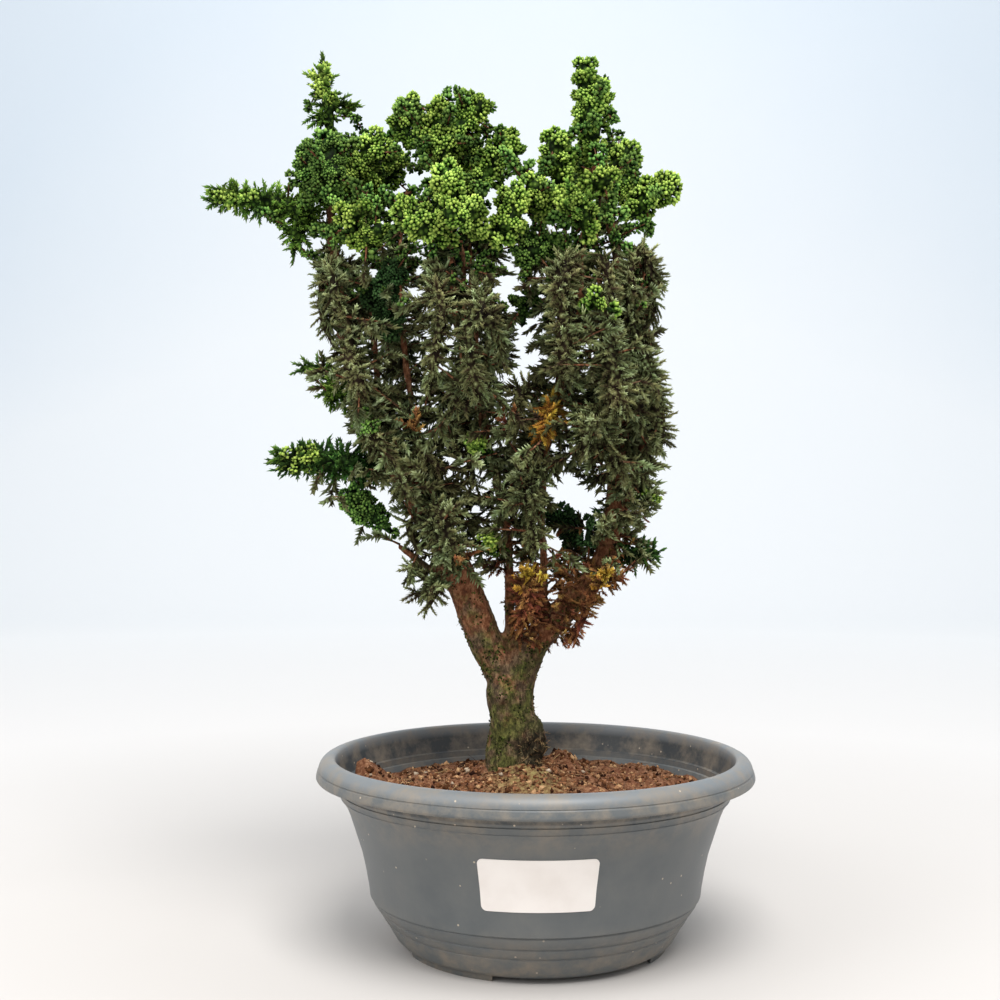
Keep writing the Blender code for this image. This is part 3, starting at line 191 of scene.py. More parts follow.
def finish_piece(name, mesh, material, slot, *replaced, crease=None, smooth=True):
    """Turns a mesh into a finished piece of the plant."""
    obj = add_object(name, mesh)
    mesh.materials.clear()
    mesh.materials.append(material)
    mesh.polygons.foreach_set("material_index", np.zeros(len(mesh.polygons), np.int32))
    if smooth:
        mesh.shade_smooth()
    if crease is not None:
        mesh.set_sharp_from_angle(angle=math.radians(crease))
    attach(obj, "root")
    if replaced:
        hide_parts(*replaced)
    triangle_count[name] = sum(len(p.vertices) - 2 for p in mesh.polygons)
    return obj


def mesh_of(bm, name):
    """A bmesh made into a mesh, and freed."""
    mesh = bpy.data.meshes.new(name)
    bm.to_mesh(mesh)
    bm.free()
    return mesh


def applied(obj):
    """The object's mesh with its modifiers applied. The object itself goes."""
    graph = bpy.context.evaluated_depsgraph_get()
    mesh = bpy.data.meshes.new_from_object(obj.evaluated_get(graph))
    bpy.data.objects.remove(obj)
    return mesh


def merged_copy(node):
    """A CAD node's loose triangles joined into one surface."""
    bm = bmesh.new()
    bm.from_mesh(nodes[node].data)
    bmesh.ops.remove_doubles(bm, verts=bm.verts, dist=0.01 * MM)
    return bm


def drawn_line(bm, points):
    """A line through points in metres: its corners and edges."""
    corners = [bm.verts.new(point) for point in points]
    return corners, [bm.edges.new(pair) for pair in zip(corners, corners[1:])]


def lathe(outline, steps, closeness):
    """An outline of radii and heights in millimetres, turned once round the Z axis."""
    bm = bmesh.new()
    corners, edges = drawn_line(bm, [(radius * MM, 0, z * MM) for radius, z in outline])
    bmesh.ops.spin(bm, geom=corners + edges, axis=UP, cent=(0, 0, 0), angle=math.tau, steps=steps,
                   use_merge=True)
    bmesh.ops.remove_doubles(bm, verts=bm.verts, dist=closeness * MM)
    return bm


def even_out(bm, rounds):
    """Moves each corner towards its neighbours, round after round."""
    for _ in range(rounds):
        bmesh.ops.smooth_vert(bm, verts=bm.verts, factor=0.5, use_axis_x=True, use_axis_y=True,
                              use_axis_z=True)

# %% [markdown]
# ## The bowl
#
# The real bowl is injection-moulded, and its wall is the same all the way round, so half of its section is
# turned round the axis, as on a lathe. The outline runs up the inside, over the rolled rim and down the
# outside, past the fine lines and steps that the mould leaves.

# %% Bowl outline
WALL = 2.6


def wall_radius(z):
    """Radius of the bowl's outer wall at a height."""
    heights = [3.4, 6.6, 16.0, 21.8, 26.8, 31.0, 35.7, 45.8, 55.9, 66.6, 77.4, 82.7, 86.4, 91.0]
    radii = [79.2, 82.6, 88.2, 92.0, 95.5, 97.2, 97.8, 99.6, 101.9, 105.4, 108.9, 111.1, 113.8, 115.0]
    return float(np.interp(z, heights, radii))


inside = [(0.01, 6.2), (74, 6.2), (77.2, 6.8), (79, 8.2)]
inside += [(wall_radius(z) - WALL, z) for z in (12, 20, 31, 45.8, 56, 66.6, 77.4, 83.5)]
inside += [(111, 89.2), (112.3, 89.7), (112.7, 93.1), (114.2, 93.8), (115.6, 99)]
rim = [
    (117.2, 106.4), (117.5, 108.4), (118.2, 109.4), (119.4, 109.9), (121, 109.9), (122.8, 109.4),
    (124.4, 108.5), (125.6, 107.4), (126.5, 106.1), (127.1, 104.6), (127.4, 103.4), (127.1, 103.0),
    (127.3, 102.6), (127.9, 102.2), (128.3, 100.8), (128.6, 99.4), (128.6, 98.6), (128.2, 97.9),
    (127.4, 97.6), (126.7, 97.9), (125.8, 100), (122.6, 105.8), (119.6, 105.4), (117.4, 96.2),
]
outside = [(115.6, 92.2), (115.1, 91.3), (115.5, 90.9), (115.1, 90.4), (114.2, 87.6), (114.4, 87.1),
           (113.7, 86.5), (112.4, 84.6)]
outside += [(wall_radius(z), z) for z in (82.7, 77.4, 66.6, 55.9, 45.8, 35.7, 31.0)]
outside += [(97.1, 30.2), (95.5, 29.5), (95.9, 28.6), (95.3, 26.8), (92.7, 23.0), (91.1, 22.1),
            (91.4, 21.2), (88.8, 16.8), (87.1, 15.9), (87.4, 15.0), (82.6, 6.6), (80.4, 4.4)]
foot = [(78.4, 3.3), (77.9, 2.8), (77.4, 0), (73, 0), (72, 3.4), (0.01, 3.4)]
outline = inside + rim + outside + foot

# %% Turn the bowl
bm = lathe(outline, 144, 0.02)
bmesh.ops.recalc_face_normals(bm, faces=bm.faces)
bmesh.ops.translate(bm, verts=bm.verts, vec=axis)
bowl = add_object("bowl_blank", mesh_of(bm, "bowl"))
print("bowl outline points", len(outline))

# %% [markdown]
# The bowl stands on three feet, and water leaves by six holes. Both are cut with a Boolean, which is what
# Blender has for taking one solid from another. A box is wide enough for each gap between two feet.

# %% Cut the foot gaps and the drain holes
def subtract(obj, cutters):
    """Cuts a mesh out of an object with a Boolean."""
    cutter = add_object("cutter", cutters)
    cut = obj.modifiers.new("cut", "BOOLEAN")
    cut.operation = "DIFFERENCE"
    cut.solver = "EXACT"
    cut.object = cutter
    mesh = applied(obj)
    bpy.data.objects.remove(cutter)
    return mesh


bm = bmesh.new()
FOOT_RADIUS, HALF_GAP = 78, 36.5     # the gap between two feet takes twice this many degrees
gap_width = 2 * FOOT_RADIUS * math.sin(math.radians(HALF_GAP))
for turn in (19.5, 139.5, 259.5):
    box = bmesh.ops.create_cube(bm, size=1)["verts"]
    bmesh.ops.scale(bm, verts=box, vec=Vector((gap_width, 37.6, 5)) * MM)
    bmesh.ops.translate(bm, verts=box, vec=Vector((0, -67.2, 0.5)) * MM)
    bmesh.ops.rotate(bm, verts=box, matrix=Matrix.Rotation(math.radians(turn), 3, "Z"))
for i in range(6):
    hole = bmesh.ops.create_cone(
        bm, cap_ends=True, segments=24, radius1=5 * MM, radius2=5 * MM, depth=20 * MM,
    )["verts"]
    bmesh.ops.translate(bm, verts=hole, vec=Vector((0, 44, 5)) * MM)
    bmesh.ops.rotate(bm, verts=hole, matrix=Matrix.Rotation(-i * math.tau / 6, 3, "Z"))
bmesh.ops.translate(bm, verts=bm.verts, vec=axis)
bowl_mesh = subtract(bowl, mesh_of(bm, "bowl_cutters"))

# %% [markdown]
# ** Polypropylene, moulded.** A warm satin grey. Water and peat leave it uneven: slow cloudy marks, tan
# dust that settles under the rim and on the lower steps, and a few pale specks. The wall over the peat is
# painted darker, painted shade in the bowl's hollow on top of the wet wall's own darker tone, and the top
# of the rim is painted paler, a painted highlight.

# %% Bowl material
plastic, add, shader, place = start_material("moulded polypropylene", 0.42, 1.49)
height = add("SeparateXYZ", (place,)).outputs["Z"]
clouds = add("TexNoise", (place, 22, 5, 0.6))
grey = add("ValToRGB", (clouds,), stops=[(0.3, "#53585a"), (0.55, "#606363"), (0.8, "#706f6b")])
from_axis = add("VectorMath", (place, (axis.x, axis.y, 0)), operation="SUBTRACT")
level = add("VectorMath", (from_axis, (1, 1, 0)), operation="MULTIPLY")
ring = add("VectorMath", (level,), operation="LENGTH")
# Painted shade: the inside wall over the peat is darkened, on top of the wet wall's own darker tone.
within = add("MapRange", (ring, 0.1175, 0.1165, 0, 0.75))
over_peat = add("MapRange", (height, 0.0925, 0.0935))
inner_wet_and_painted_shade = add("Math", (within, over_peat), operation="MULTIPLY")
# Painted highlight: the top of the rim is made paler where the overhead light falls on it.
rim_painted_highlight = add("MapRange", (height, 0.1025, 0.107, 0, 0.55))
low_dust = add("MapRange", (height, 0.036, 0.004, 0, 1.0))
rim_dust = add("MapRange", (height, 0.07, 0.092, 0, 0.85))
dust_place = add("Math", (low_dust, rim_dust), operation="ADD")
streaks = add("TexNoise", (place, 60, 6, 0.7))
smudges = add("MapRange", (streaks, 0.42, 0.74))
dust = add("Math", (smudges, dust_place), operation="MULTIPLY")
specks = add("TexVoronoi", (place, 160))
speck_edge = add("MapRange", (specks.outputs["Distance"], 0.11, 0.07))
speck_here = add("MapRange", (specks.outputs["Color"], 0.6, 0.62))
speck = add("Math", (speck_edge, speck_here), operation="MULTIPLY")
colour = grey
# Mixed in: painted shade inside, a painted highlight on the rim top, real dust and pale specks.
for share, code in ((inner_wet_and_painted_shade, "#25292c"), (rim_painted_highlight, "#868b8e"), (dust, "#8f8270"), (speck, "#b9ab97")):
    colour = add("Mix", (share, colour, linear(code)), data_type="RGBA")
satin = add("MapRange", (clouds, 0, 1, 0.34, 0.56))
fill(shader, {"Roughness": satin})
grain = add("TexNoise", (place, 900, 2))
coat(add, shader, colour, grain, 0.12, 0.0003)
finish_piece("bowl", bowl_mesh, plastic, "pot_plastic", "pot", crease=38)
print("bowl triangles", triangle_count["bowl"])

# %% [markdown]
# ## The blank label
#
# A stock film label with rounded corners, stuck on by hand a touch askew. It starts flat: one face, its
# corners bevelled, cut into narrow strips so that it can bend, and only then wrapped onto the wall.

# %% Label
LABEL_WIDE, LABEL_HIGH, LABEL_MIDDLE = 62, 29, 58.8     # the last is its height over the ground

bm = bmesh.new()
bmesh.ops.create_grid(bm, x_segments=1, y_segments=1, size=0.5)
bmesh.ops.scale(bm, verts=bm.verts, vec=Vector((LABEL_WIDE, LABEL_HIGH, 1)) * MM)
bmesh.ops.bevel(bm, geom=bm.verts[:], offset=3 * MM, segments=8, profile=0.5, affect="VERTICES",
                material=-1)
for across in np.linspace(-28, 28, 29):
    bmesh.ops.bisect_plane(bm, geom=bm.verts[:] + bm.edges[:] + bm.faces[:],
                           plane_co=(across * MM, 0, 0), plane_no=(1, 0, 0))
for up in (-10, -3, 4, 10):
    bmesh.ops.bisect_plane(bm, geom=bm.verts[:] + bm.edges[:] + bm.faces[:],
                           plane_co=(0, up * MM, 0), plane_no=(0, 1, 0))
for vert in bm.verts:
    turn = math.radians(1) + vert.co.x / MM / wall_radius(LABEL_MIDDLE)
    z = LABEL_MIDDLE + vert.co.y / MM
    radius = wall_radius(z) + 0.08
    vert.co = axis + Vector((radius * math.sin(turn), -radius * math.cos(turn), z)) * MM
bmesh.ops.recalc_face_normals(bm, faces=bm.faces)
if sum((face.calc_area() * face.normal.y for face in bm.faces)) > 0:
    bmesh.ops.reverse_faces(bm, faces=bm.faces)
bmesh.ops.solidify(bm, geom=bm.faces[:], thickness=-0.3 * MM)
bmesh.ops.recalc_face_normals(bm, faces=bm.faces)
label_mesh = mesh_of(bm, "label")

# %% [markdown]
# **Coated label film.** Nearly white and a little warm. Fine fibres and a faint yellowing keep it from
# looking like a hole in the picture.

# %% Label material
film, add, shader, place = start_material("coated label film", 0.38, 1.5)
ageing = add("TexNoise", (place, 45, 6))
paper = add("ValToRGB", (ageing,), stops=[(0.25, "#e8e0d9"), (0.5, "#f1eae4"), (0.8, "#f6f0ea")])
fibre = add("TexNoise", (place, 1400, 3))
coat(add, shader, paper, fibre, 0.08, 0.0002)
finish_piece("blank_label", label_mesh, film, "label_film", "label", crease=40)

# %% [markdown]
# ## The peat
#
# The peat heaps up round the trunk and keeps a few loose clods. The same rule as in the CAD model gives the
# large relief, and noise adds the crumb. The top is turned from a line of closely set points, which
# gives an even net of small faces, and each point is then lifted to its own height.

# %% Peat relief
CLODS = [
    (-4, -29, 7, 18), (17, 29, 12, 12), (-102, 8, 18, 12), (-92, -14, 5, 12), (38, -40, 3.5, 18),
    (-52, -52, 4, 20), (60, 25, 3.5, 16), (-48, 46, 3.5, 18), (84, -22, 3, 13), (2, 74, 4, 18),
    (-70, 8, 2.5, 15), (36, 58, 3, 14), (12, -78, 2.5, 16), (-10, -100, 2, 12), (70, 68, 2.5, 12),
]
PEAT_EDGE = 87.0


def peat_height(x, y):
    """Height of the peat over the ground, for a place measured from the bowl's axis."""
    rise = 16 * math.exp(-((math.hypot(x + 13, y) / 46) ** 2))
    for clod_x, clod_y, clod_rise, reach in CLODS:
        rise += clod_rise * math.exp(-((math.hypot(x - clod_x, y - clod_y) / reach) ** 2))
    waves = math.sin(0.21 * x + 1.1) * math.sin(0.19 * y + 0.4) + 0.6 * math.sin(0.37 * (x + y))
    crumb = 1.5 * noise.noise(Vector((x, y, 0)) / 4.2) + 1.0 * noise.noise(Vector((x, y, 9)) / 1.9)
    return PEAT_EDGE + rise + 1.3 * waves + crumb


# %% Turn and lift the peat
top = [(0.01, PEAT_EDGE)] + [(radius, PEAT_EDGE) for radius in np.arange(2, 108.5, 1.5)]
side = [(wall_radius(z) - WALL - 0.6, z) for z in (84, 77.4, 66.6, 45.8, 31, 12)]
bm = lathe(top + side + [(74, 6.6), (0.01, 6.6)], 200, 0.03)
for vert in bm.verts:
    if abs(vert.co.z - PEAT_EDGE * MM) < 1e-6:
        vert.co.z = peat_height(vert.co.x / MM, vert.co.y / MM) * MM
bmesh.ops.recalc_face_normals(bm, faces=bm.faces)
bmesh.ops.translate(bm, verts=bm.verts, vec=axis)
peat_mesh = mesh_of(bm, "peat")

# %% [markdown]
# **Peat.** Red-brown, matt and uneven: darker where it is damp and deep, with lighter fibre. The crumb in
# the colour is about 2 mm, the size of the lumps that can be seen.

# %% Peat material
peat, add, shader, place = start_material("damp peat", 0.95, 1.4, 0.15)
crumb = add("TexNoise", (place, 300, 6, 0.75))
earth = add("ValToRGB", (crumb,), stops=[(0.3, "#24150e"), (0.44, "#5a3a28"), (0.56, "#8a6449"),
            (0.72, "#c09c7a")])
patches = add("TexNoise", (place, 38, 3))
red_share = add("MapRange", (patches, 0.35, 0.75, 0, 0.5))
redder = add("Mix", (red_share, earth, linear("#7d4b34")), data_type="RGBA")
mound = add("VectorMath", (place, axis + Vector((-3, -27, 95)) * MM), operation="DISTANCE")
mossy_share = add("MapRange", (mound, 0.03, 0.012, 0, 0.8))
fluff = add("MapRange", (crumb, 0.42, 0.6))
tufts = add("Math", (mossy_share, fluff), operation="MULTIPLY")
mossy = add("Mix", (tufts, redder, linear("#8a8350")), data_type="RGBA")
coat(add, shader, mossy, crumb, 0.8, 0.0015)
finish_piece("peat_bed", peat_mesh, peat, "peat", "soil")
print("peat triangles", triangle_count["peat_bed"])

# %% [markdown]
# ## Copies of small shapes
#
# Crumbs, straws and leaf sprigs are one small shape each, repeated many times. A copy that Blender only
# draws as an instance is lost when the model is exported, so the copies are real. Numpy moves all the
# corners of all the copies at once. Each corner carries three shares in a colour attribute called growth:
# how near the tip it is, a number of its copy's own, and how open its place is, which the leaf colours
# turn into painted light and shade.

# %% Make copies
def read_master(bm, growth):
    """A small shape as arrays: corners, triangles, and how near the tip each corner is."""
    bmesh.ops.triangulate(bm, faces=bm.faces)
    bm.verts.index_update()
    points = np.array([vert.co for vert in bm.verts])
    faces = np.array([[vert.index for vert in face.verts] for face in bm.faces])
    bm.free()
    return points, faces, np.clip(growth(points), 0, 1)


def copies_mesh(name, masters, which, matrices, own, painted_light_share, start=None):
    """One mesh with a copy of a master at each matrix. It begins with the mesh in start, if any."""
    points, faces, tints, count = [], [], [], 0
    if start is not None:
        points.append(start[0])
        faces.append(start[1])
        tints.append(start[2])
        count = len(start[0])
    for number, (shape, triangles, growth) in enumerate(masters):
        chosen = np.flatnonzero(which == number)
        if not len(chosen):
            continue
        placed = np.einsum("nij,kj->nki", matrices[chosen, :3, :3], shape) + matrices[chosen, None, :3, 3]
        points.append(placed.reshape(-1, 3))
        offsets = count + np.arange(len(chosen)) * len(shape)
        faces.append((triangles[None] + offsets[:, None, None]).reshape(-1, 3))
        tint = np.ones((len(chosen), len(shape), 4), np.float32)
        tint[..., 0] = growth[None]
        tint[..., 1] = own[chosen, None]
        tint[..., 2] = painted_light_share[chosen, None]
        tints.append(tint.reshape(-1, 4))
        count += len(chosen) * len(shape)
    points, faces, tints = np.concatenate(points), np.concatenate(faces), np.concatenate(tints)
    mesh = bpy.data.meshes.new(name)
    mesh.vertices.add(len(points))
    mesh.vertices.foreach_set("co", points.astype(np.float32).ravel())
    mesh.loops.add(faces.size)
    mesh.loops.foreach_set("vertex_index", faces.astype(np.int32).ravel())
    mesh.polygons.add(len(faces))
    mesh.polygons.foreach_set("loop_start", np.arange(0, faces.size, 3, dtype=np.int32))
    mesh.update(calc_edges=True)
    mesh.validate()
    growth = mesh.color_attributes.new("growth", "FLOAT_COLOR", "POINT")
    growth.data.foreach_set("color", tints.astype(np.float32).ravel())
    return mesh


def turned_to(direction, spin, size, spot):
    """The matrix that points a shape's +Z along direction, turned by spin, scaled, at spot."""
    turn = Vector(direction).to_track_quat("Z", "Y").to_matrix().to_4x4()
    return np.array(
        Matrix.Translation(spot) @ turn @ Matrix.Rotation(spin, 4, "Z") @ Matrix.Diagonal((*size, 1))
    )


def laid_along(direction, face, size, spot):
    """The matrix that points a shape's +Z along direction and turns its +Y towards face."""
    z = Vector(direction).normalized()
    x = Vector(face).cross(z)
    if x.length < 0.05:
        x = z.orthogonal()
    x.normalize()
    turn = Matrix((x, z.cross(x), z)).transposed().to_4x4()
    return np.array(Matrix.Translation(spot) @ turn @ Matrix.Diagonal((size, size, size, 1)))

# %% [markdown]
# ## Crumbs, straws and pebbles on the peat
#
# Loose crumbs break up the smooth net of the peat, mostly round the trunk and against the wall. Straws are
# thin tapered rods laid nearly flat. A few pale pebbles show between them.

# %% Scatter on the peat
rng = np.random.default_rng(11)


def crumb_shape():
    bm = bmesh.new()
    bmesh.ops.create_uvsphere(bm, u_segments=4, v_segments=2, radius=1)
    for vert in bm.verts:
        vert.co += Vector(rng.uniform(-0.35, 0.35, 3))
    return read_master(bm, lambda points: points[:, 2] * 0.5 + 0.5)


def straw_shape():
    bm = bmesh.new()
    bmesh.ops.create_cone(bm, cap_ends=True, segments=3, radius1=0.5, radius2=0.25, depth=2)
    bmesh.ops.subdivide_edges(bm, edges=[e for e in bm.edges if e.calc_length() > 1.5], cuts=2)
    for vert in bm.verts:
        vert.co.x += 0.9 * (1 - vert.co.z ** 2) * 1.2
    return read_master(bm, lambda points: points[:, 2] * 0.5 + 0.5)


def peat_spots(count, reach):
    """Seeded places on the peat, measured from the axis, thicker near the trunk."""
    spots = []
    while len(spots) < count:
        turn = rng.uniform(0, math.tau)
        away = reach * math.sqrt(rng.random())
        x, y = away * math.cos(turn), away * math.sin(turn)
        near_trunk = math.hypot(x + 13, y)
        if near_trunk > 17 and rng.random() < 0.35 + 0.65 * math.exp(-((near_trunk / 60) ** 2)):
            spots.append((x, y))
    return spots


def scatter(name, shapes, count, material, slot, size, lean, sink):
    """Copies of small shapes lying on the peat."""
    matrices = []
    for x, y in peat_spots(count, 103):
        tilt = Vector(rng.normal(0, 1, 3))
        tilt.z = abs(tilt.z) * lean
        scale = size()
        spot = axis + Vector((x, y, peat_height(x, y) + sink)) * MM
        matrices.append(turned_to(tilt, rng.uniform(0, math.tau), scale, spot))
    which = rng.integers(0, len(shapes), count)
    mesh = copies_mesh(name, shapes, which, np.array(matrices), rng.random(count), np.ones(count))
    return finish_piece(name, mesh, material, slot, smooth=False)


# %% [markdown]
# **Loose crumbs.** Each crumb has a brown of its own, from nearly black to a dry tan, so that single
# crumbs can be told apart.

# %% Crumbs
loose, add, shader, place = start_material("loose peat crumbs", 0.95, 1.4, 0.1)
own = growth_shares(add)[1]
browns = add("ValToRGB", (own,), stops=[(0.05, "#2a1710"), (0.4, "#643f26"), (0.75, "#956748"),
             (1, "#c69f74")])
grain = add("TexNoise", (place, 900, 4))
shade = add("MapRange", (grain, 0.3, 0.7, 0.6, 1.2))
mottled = add("HueSaturation", {"Color": browns, "Value": shade})
coat(add, shader, mottled, grain, 0.6, 0.0005)
crumbs = [crumb_shape() for _ in range(5)]


def crumb_size():
    return Vector((1, rng.uniform(0.5, 1), 0.7)) * rng.uniform(0.6, 1.6) * rng.choice([1, 1, 1.7]) * MM


scatter("peat_crumbs", crumbs, 3600, loose, "peat", crumb_size, 1, 0.2)

# %% [markdown]
# **Straw and root fibre.** Dry plant fibre, pale brown to straw yellow, with a weak silky shine.

# %% Straw and pebble materials
straw, add, shader, place = start_material("dry root fibre", 0.7, 1.45, 0.3)
own = growth_shares(add)[1]
fibre = add("ValToRGB", (own,), stops=[(0.0, "#3a241a"), (0.5, "#7b5a3d"), (1.0, "#b99c6b")])
streak = add("TexNoise", (place, 1500, 2))
coat(add, shader, fibre, streak, 0.4, 0.0003)
straws = [straw_shape() for _ in range(3)]
scatter("straws", straws, 700, straw, "peat",
        lambda: Vector((0.38, 0.38, rng.uniform(1.6, 5.0))) * MM, 0.3, 0.8)

stone, add, shader, place = start_material("weathered limestone grit", 0.8, 1.5)
mottle = add("TexNoise", (place, 300, 4))
pale = add("ValToRGB", (mottle,), stops=[(0.3, "#8f7a63"), (0.7, "#c7b59c")])
coat(add, shader, pale)
scatter("grit", crumbs, 26, stone, "peat", lambda: Vector([rng.uniform(1.2, 2.0) * MM] * 3), 1, 0.9)

# %% [markdown]
# ## Trunk and limbs
#
# The trunk forks low and its limbs rise into the crown. A copy of the CAD wood is rebuilt from small cubes
# (a voxel remesh), which gives an even skin to carve, and smoothed until its flat sides are gone. Every
# point then moves along its normal by noise that is stretched upwards, because bark splits along
# the grain. A dark, knotted burl swells out at the foot.

# %% Carve the bark
wood = add_object("wood_copy", mesh_of(merged_copy("wood"), "wood_copy"))
remesh = wood.modifiers.new("even skin", "REMESH")
remesh.mode = "VOXEL"
remesh.voxel_size = 1.5 * MM
bark_mesh = applied(wood)
bm = bmesh.new()
bm.from_mesh(bark_mesh)
even_out(bm, 5)
bm.normal_update()
BURL = axis + Vector((1, -5, 112)) * MM      # the dark swelling on the right of the trunk's foot


def bark_relief(spot):
    """How far the bark stands out at a place in metres, in millimetres."""
    grain = Vector((spot.x / 0.0032, spot.y / 0.0032, spot.z / 0.014))
    ridges = 1 - 2 * abs(noise.noise(grain))
    fine = noise.noise(Vector((spot.x / 0.0014, spot.y / 0.0014, spot.z / 0.005)))
    lumps = noise.noise(spot / 0.011)
    low = max(0.0, 1 - max(0.0, spot.z - 0.1) / 0.12)
    swelling = max(0.0, 1 - (spot - BURL).length / 0.019)
    knots = noise.noise(spot / 0.0045) + 0.5 * noise.noise(spot / 0.0022)
    return 0.3 * ridges + 0.22 * fine + (0.4 + 0.6 * low) * lumps + (0.35 * low + 2.4 * swelling) * knots


moved = [vert.co + vert.normal * bark_relief(vert.co) * MM for vert in bm.verts]
for vert, spot in zip(bm.verts, moved):
    vert.co = spot
bm.to_mesh(bark_mesh)
bm.free()

# %% [markdown]
# **Cypress bark.** Grey-brown and fibrous. Moss has greened it low down, and higher up the older bark has
# peeled to the red-brown layer under it. All three mix by height and by noise, so no edge is straight.

# %% Bark material
bark, add, shader, place = start_material("cypress bark", 0.88, 1.45, 0.2)
height = add("SeparateXYZ", (place,)).outputs["Z"]
along = add("Mapping", {"Vector": place, "Scale": (1, 1, 0.6)})
fibres = add("TexNoise", (along, 360, 9, 0.75))
patches = add("TexNoise", (place, 75, 4))
higher = add("MapRange", (height, 0.14, 0.2, -0.12, 0.1))
red_sum = add("Math", (patches, higher), operation="ADD")
red_share = add("MapRange", (red_sum, 0.42, 0.62))
moss_noise = add("TexNoise", (place, 95, 7, 0.65))
lower = add("MapRange", (height, 0.24, 0.12, -0.2, 0.06))
moss_sum = add("Math", (moss_noise, lower), operation="ADD")
moss_share = add("MapRange", (moss_sum, 0.44, 0.58, 0, 0.85))
from_burl = add("VectorMath", (place, BURL), operation="DISTANCE")
near_burl = add("MapRange", (from_burl, 0.022, 0.012, 0, 0.9))
colour = add("ValToRGB", (fibres,), stops=[(0.34, "#1a130d"), (0.49, "#574634"), (0.68, "#9c8062")])
for share, stops in (
    (red_share, [(0.32, "#27140d"), (0.48, "#75482f"), (0.68, "#bb8662")]),
    (moss_share, [(0.34, "#141708"), (0.49, "#474b22"), (0.68, "#868a44")]),
    (near_burl, [(0.38, "#0e0b09"), (0.52, "#31281d"), (0.7, "#8d7b62")]),
):
    layer = add("ValToRGB", (fibres,), stops=stops)
    colour = add("Mix", (share, colour, layer), data_type="RGBA")
coat(add, shader, colour, fibres, 1.0, 0.002)
finish_piece("trunk_and_limbs", bark_mesh, bark, "bark", "wood")
print("bark triangles", triangle_count["trunk_and_limbs"])

# %% [markdown]
# ## Leaf sprigs
#
# A hinoki leaf is a tiny scale, and the eye sees groups of them. On the sunny tops they make knobs like
# a cockscomb. On the hanging branches they make small feathery fronds. So two kinds of master are enough:
# a dome of small lobes, and a stem with slanting needles. Each has some variants, so that no two
# neighbours look alike, and a coarser make for the shade inside the crown.

# %% Lobed lumps
LUMP_LENGTH = 6.6


def lobed_lump(lobes, dome, flatness):
    """A dome of blunt lobes, growing along +Z from the origin. No two have the same outline."""
    bm = bmesh.new()
    middle = Vector((0, 0, 0.6 * dome))
    for i in range(lobes):
        tilt = math.acos(1 - 1.15 * (i + 0.4) / lobes)
        turn = 2.4 * i + rng.uniform(-0.3, 0.3)
        way = Vector((math.sin(tilt) * math.cos(turn), math.sin(tilt) * math.sin(turn), math.cos(tilt)))
        stand = (way + Vector((0, 0, 0.3))).to_track_quat("Z", "Y").to_matrix().to_4x4()
        wide = rng.uniform(0.95, 1.35)
        lobe = bmesh.ops.create_uvsphere(bm, u_segments=5, v_segments=2, radius=1)["verts"]
        for vert in lobe:
            if abs(vert.co.z) < 0.1:
                vert.co = vert.co * float(rng.uniform(0.8, 1.15)) + Vector((0, 0, 0.35))
        size = Matrix.Diagonal((wide, wide, wide * rng.uniform(1.5, 2.0), 1))
        centre = middle + way * dome * rng.uniform(0.84, 1.14)
        bmesh.ops.transform(bm, verts=lobe, matrix=Matrix.Translation(centre) @ stand @ size)
    bmesh.ops.scale(bm, verts=bm.verts, vec=(MM, flatness * MM, MM))

    # The share is low deep in the dome and high on the outer lobes: painted shade between the lobes, and
    # the tips' own paler colour.
    def growth(points):
        out = np.linalg.norm((points / MM - np.array(middle)) / (1, flatness, 1), axis=1)
        return (out - 0.72 * dome) / (0.85 * dome)

    return read_master(bm, growth)


# %% Fronds
FROND_LENGTH = 8.8


def frond(needles, wide, reach, curl):
    """A feathery spray: slanting needles on both sides of a stem along +Z that curls towards +Y."""
    bm = bmesh.new()
    bmesh.ops.create_cone(
        bm, cap_ends=False, segments=3, radius1=0.5, radius2=0.3, depth=FROND_LENGTH * 0.9,
        matrix=Matrix.Translation((0, 0, FROND_LENGTH * 0.45)),
    )
    for i in range(needles):
        share = (i + rng.uniform(0.1, 0.9)) / needles
        side = (0, math.pi, 0, math.pi, math.pi / 2)[i % 5] + rng.uniform(-0.45, 0.45)
        slant = math.radians(rng.uniform(48, 66) - 34 * share ** 2)
        long = reach * (1.1 - 0.35 * share) * rng.uniform(0.8, 1.2)
        lay = (
            Matrix.Translation((0, 0, share * FROND_LENGTH * 0.9))
            @ Matrix.Rotation(side, 4, "Z")
            @ Matrix.Rotation(slant, 4, "Y")
            @ Matrix.Translation((0, 0, long / 2))
        )
        bmesh.ops.create_cone(
            bm, cap_ends=False, segments=3, radius1=wide, radius2=0, depth=long, matrix=lay,
        )
    for vert in bm.verts:
        vert.co.y += curl * vert.co.z ** 2 / FROND_LENGTH
    bmesh.ops.scale(bm, verts=bm.verts, vec=(MM, MM, MM))
    bmesh.ops.remove_doubles(bm, verts=bm.verts, dist=0.001 * MM)

    # The share is low at the stem and high at the needle tips: painted shade at the stem, and the tips' own
    # paler colour.
    def growth(points):
        back = points[:, 1] - curl * points[:, 2] ** 2 / (FROND_LENGTH * MM)
        out = np.hypot(points[:, 0], back) / MM / reach
        return 0.05 + 0.4 * (points[:, 2] / MM / FROND_LENGTH) ** 2 + 0.8 * out

    return read_master(bm, growth)


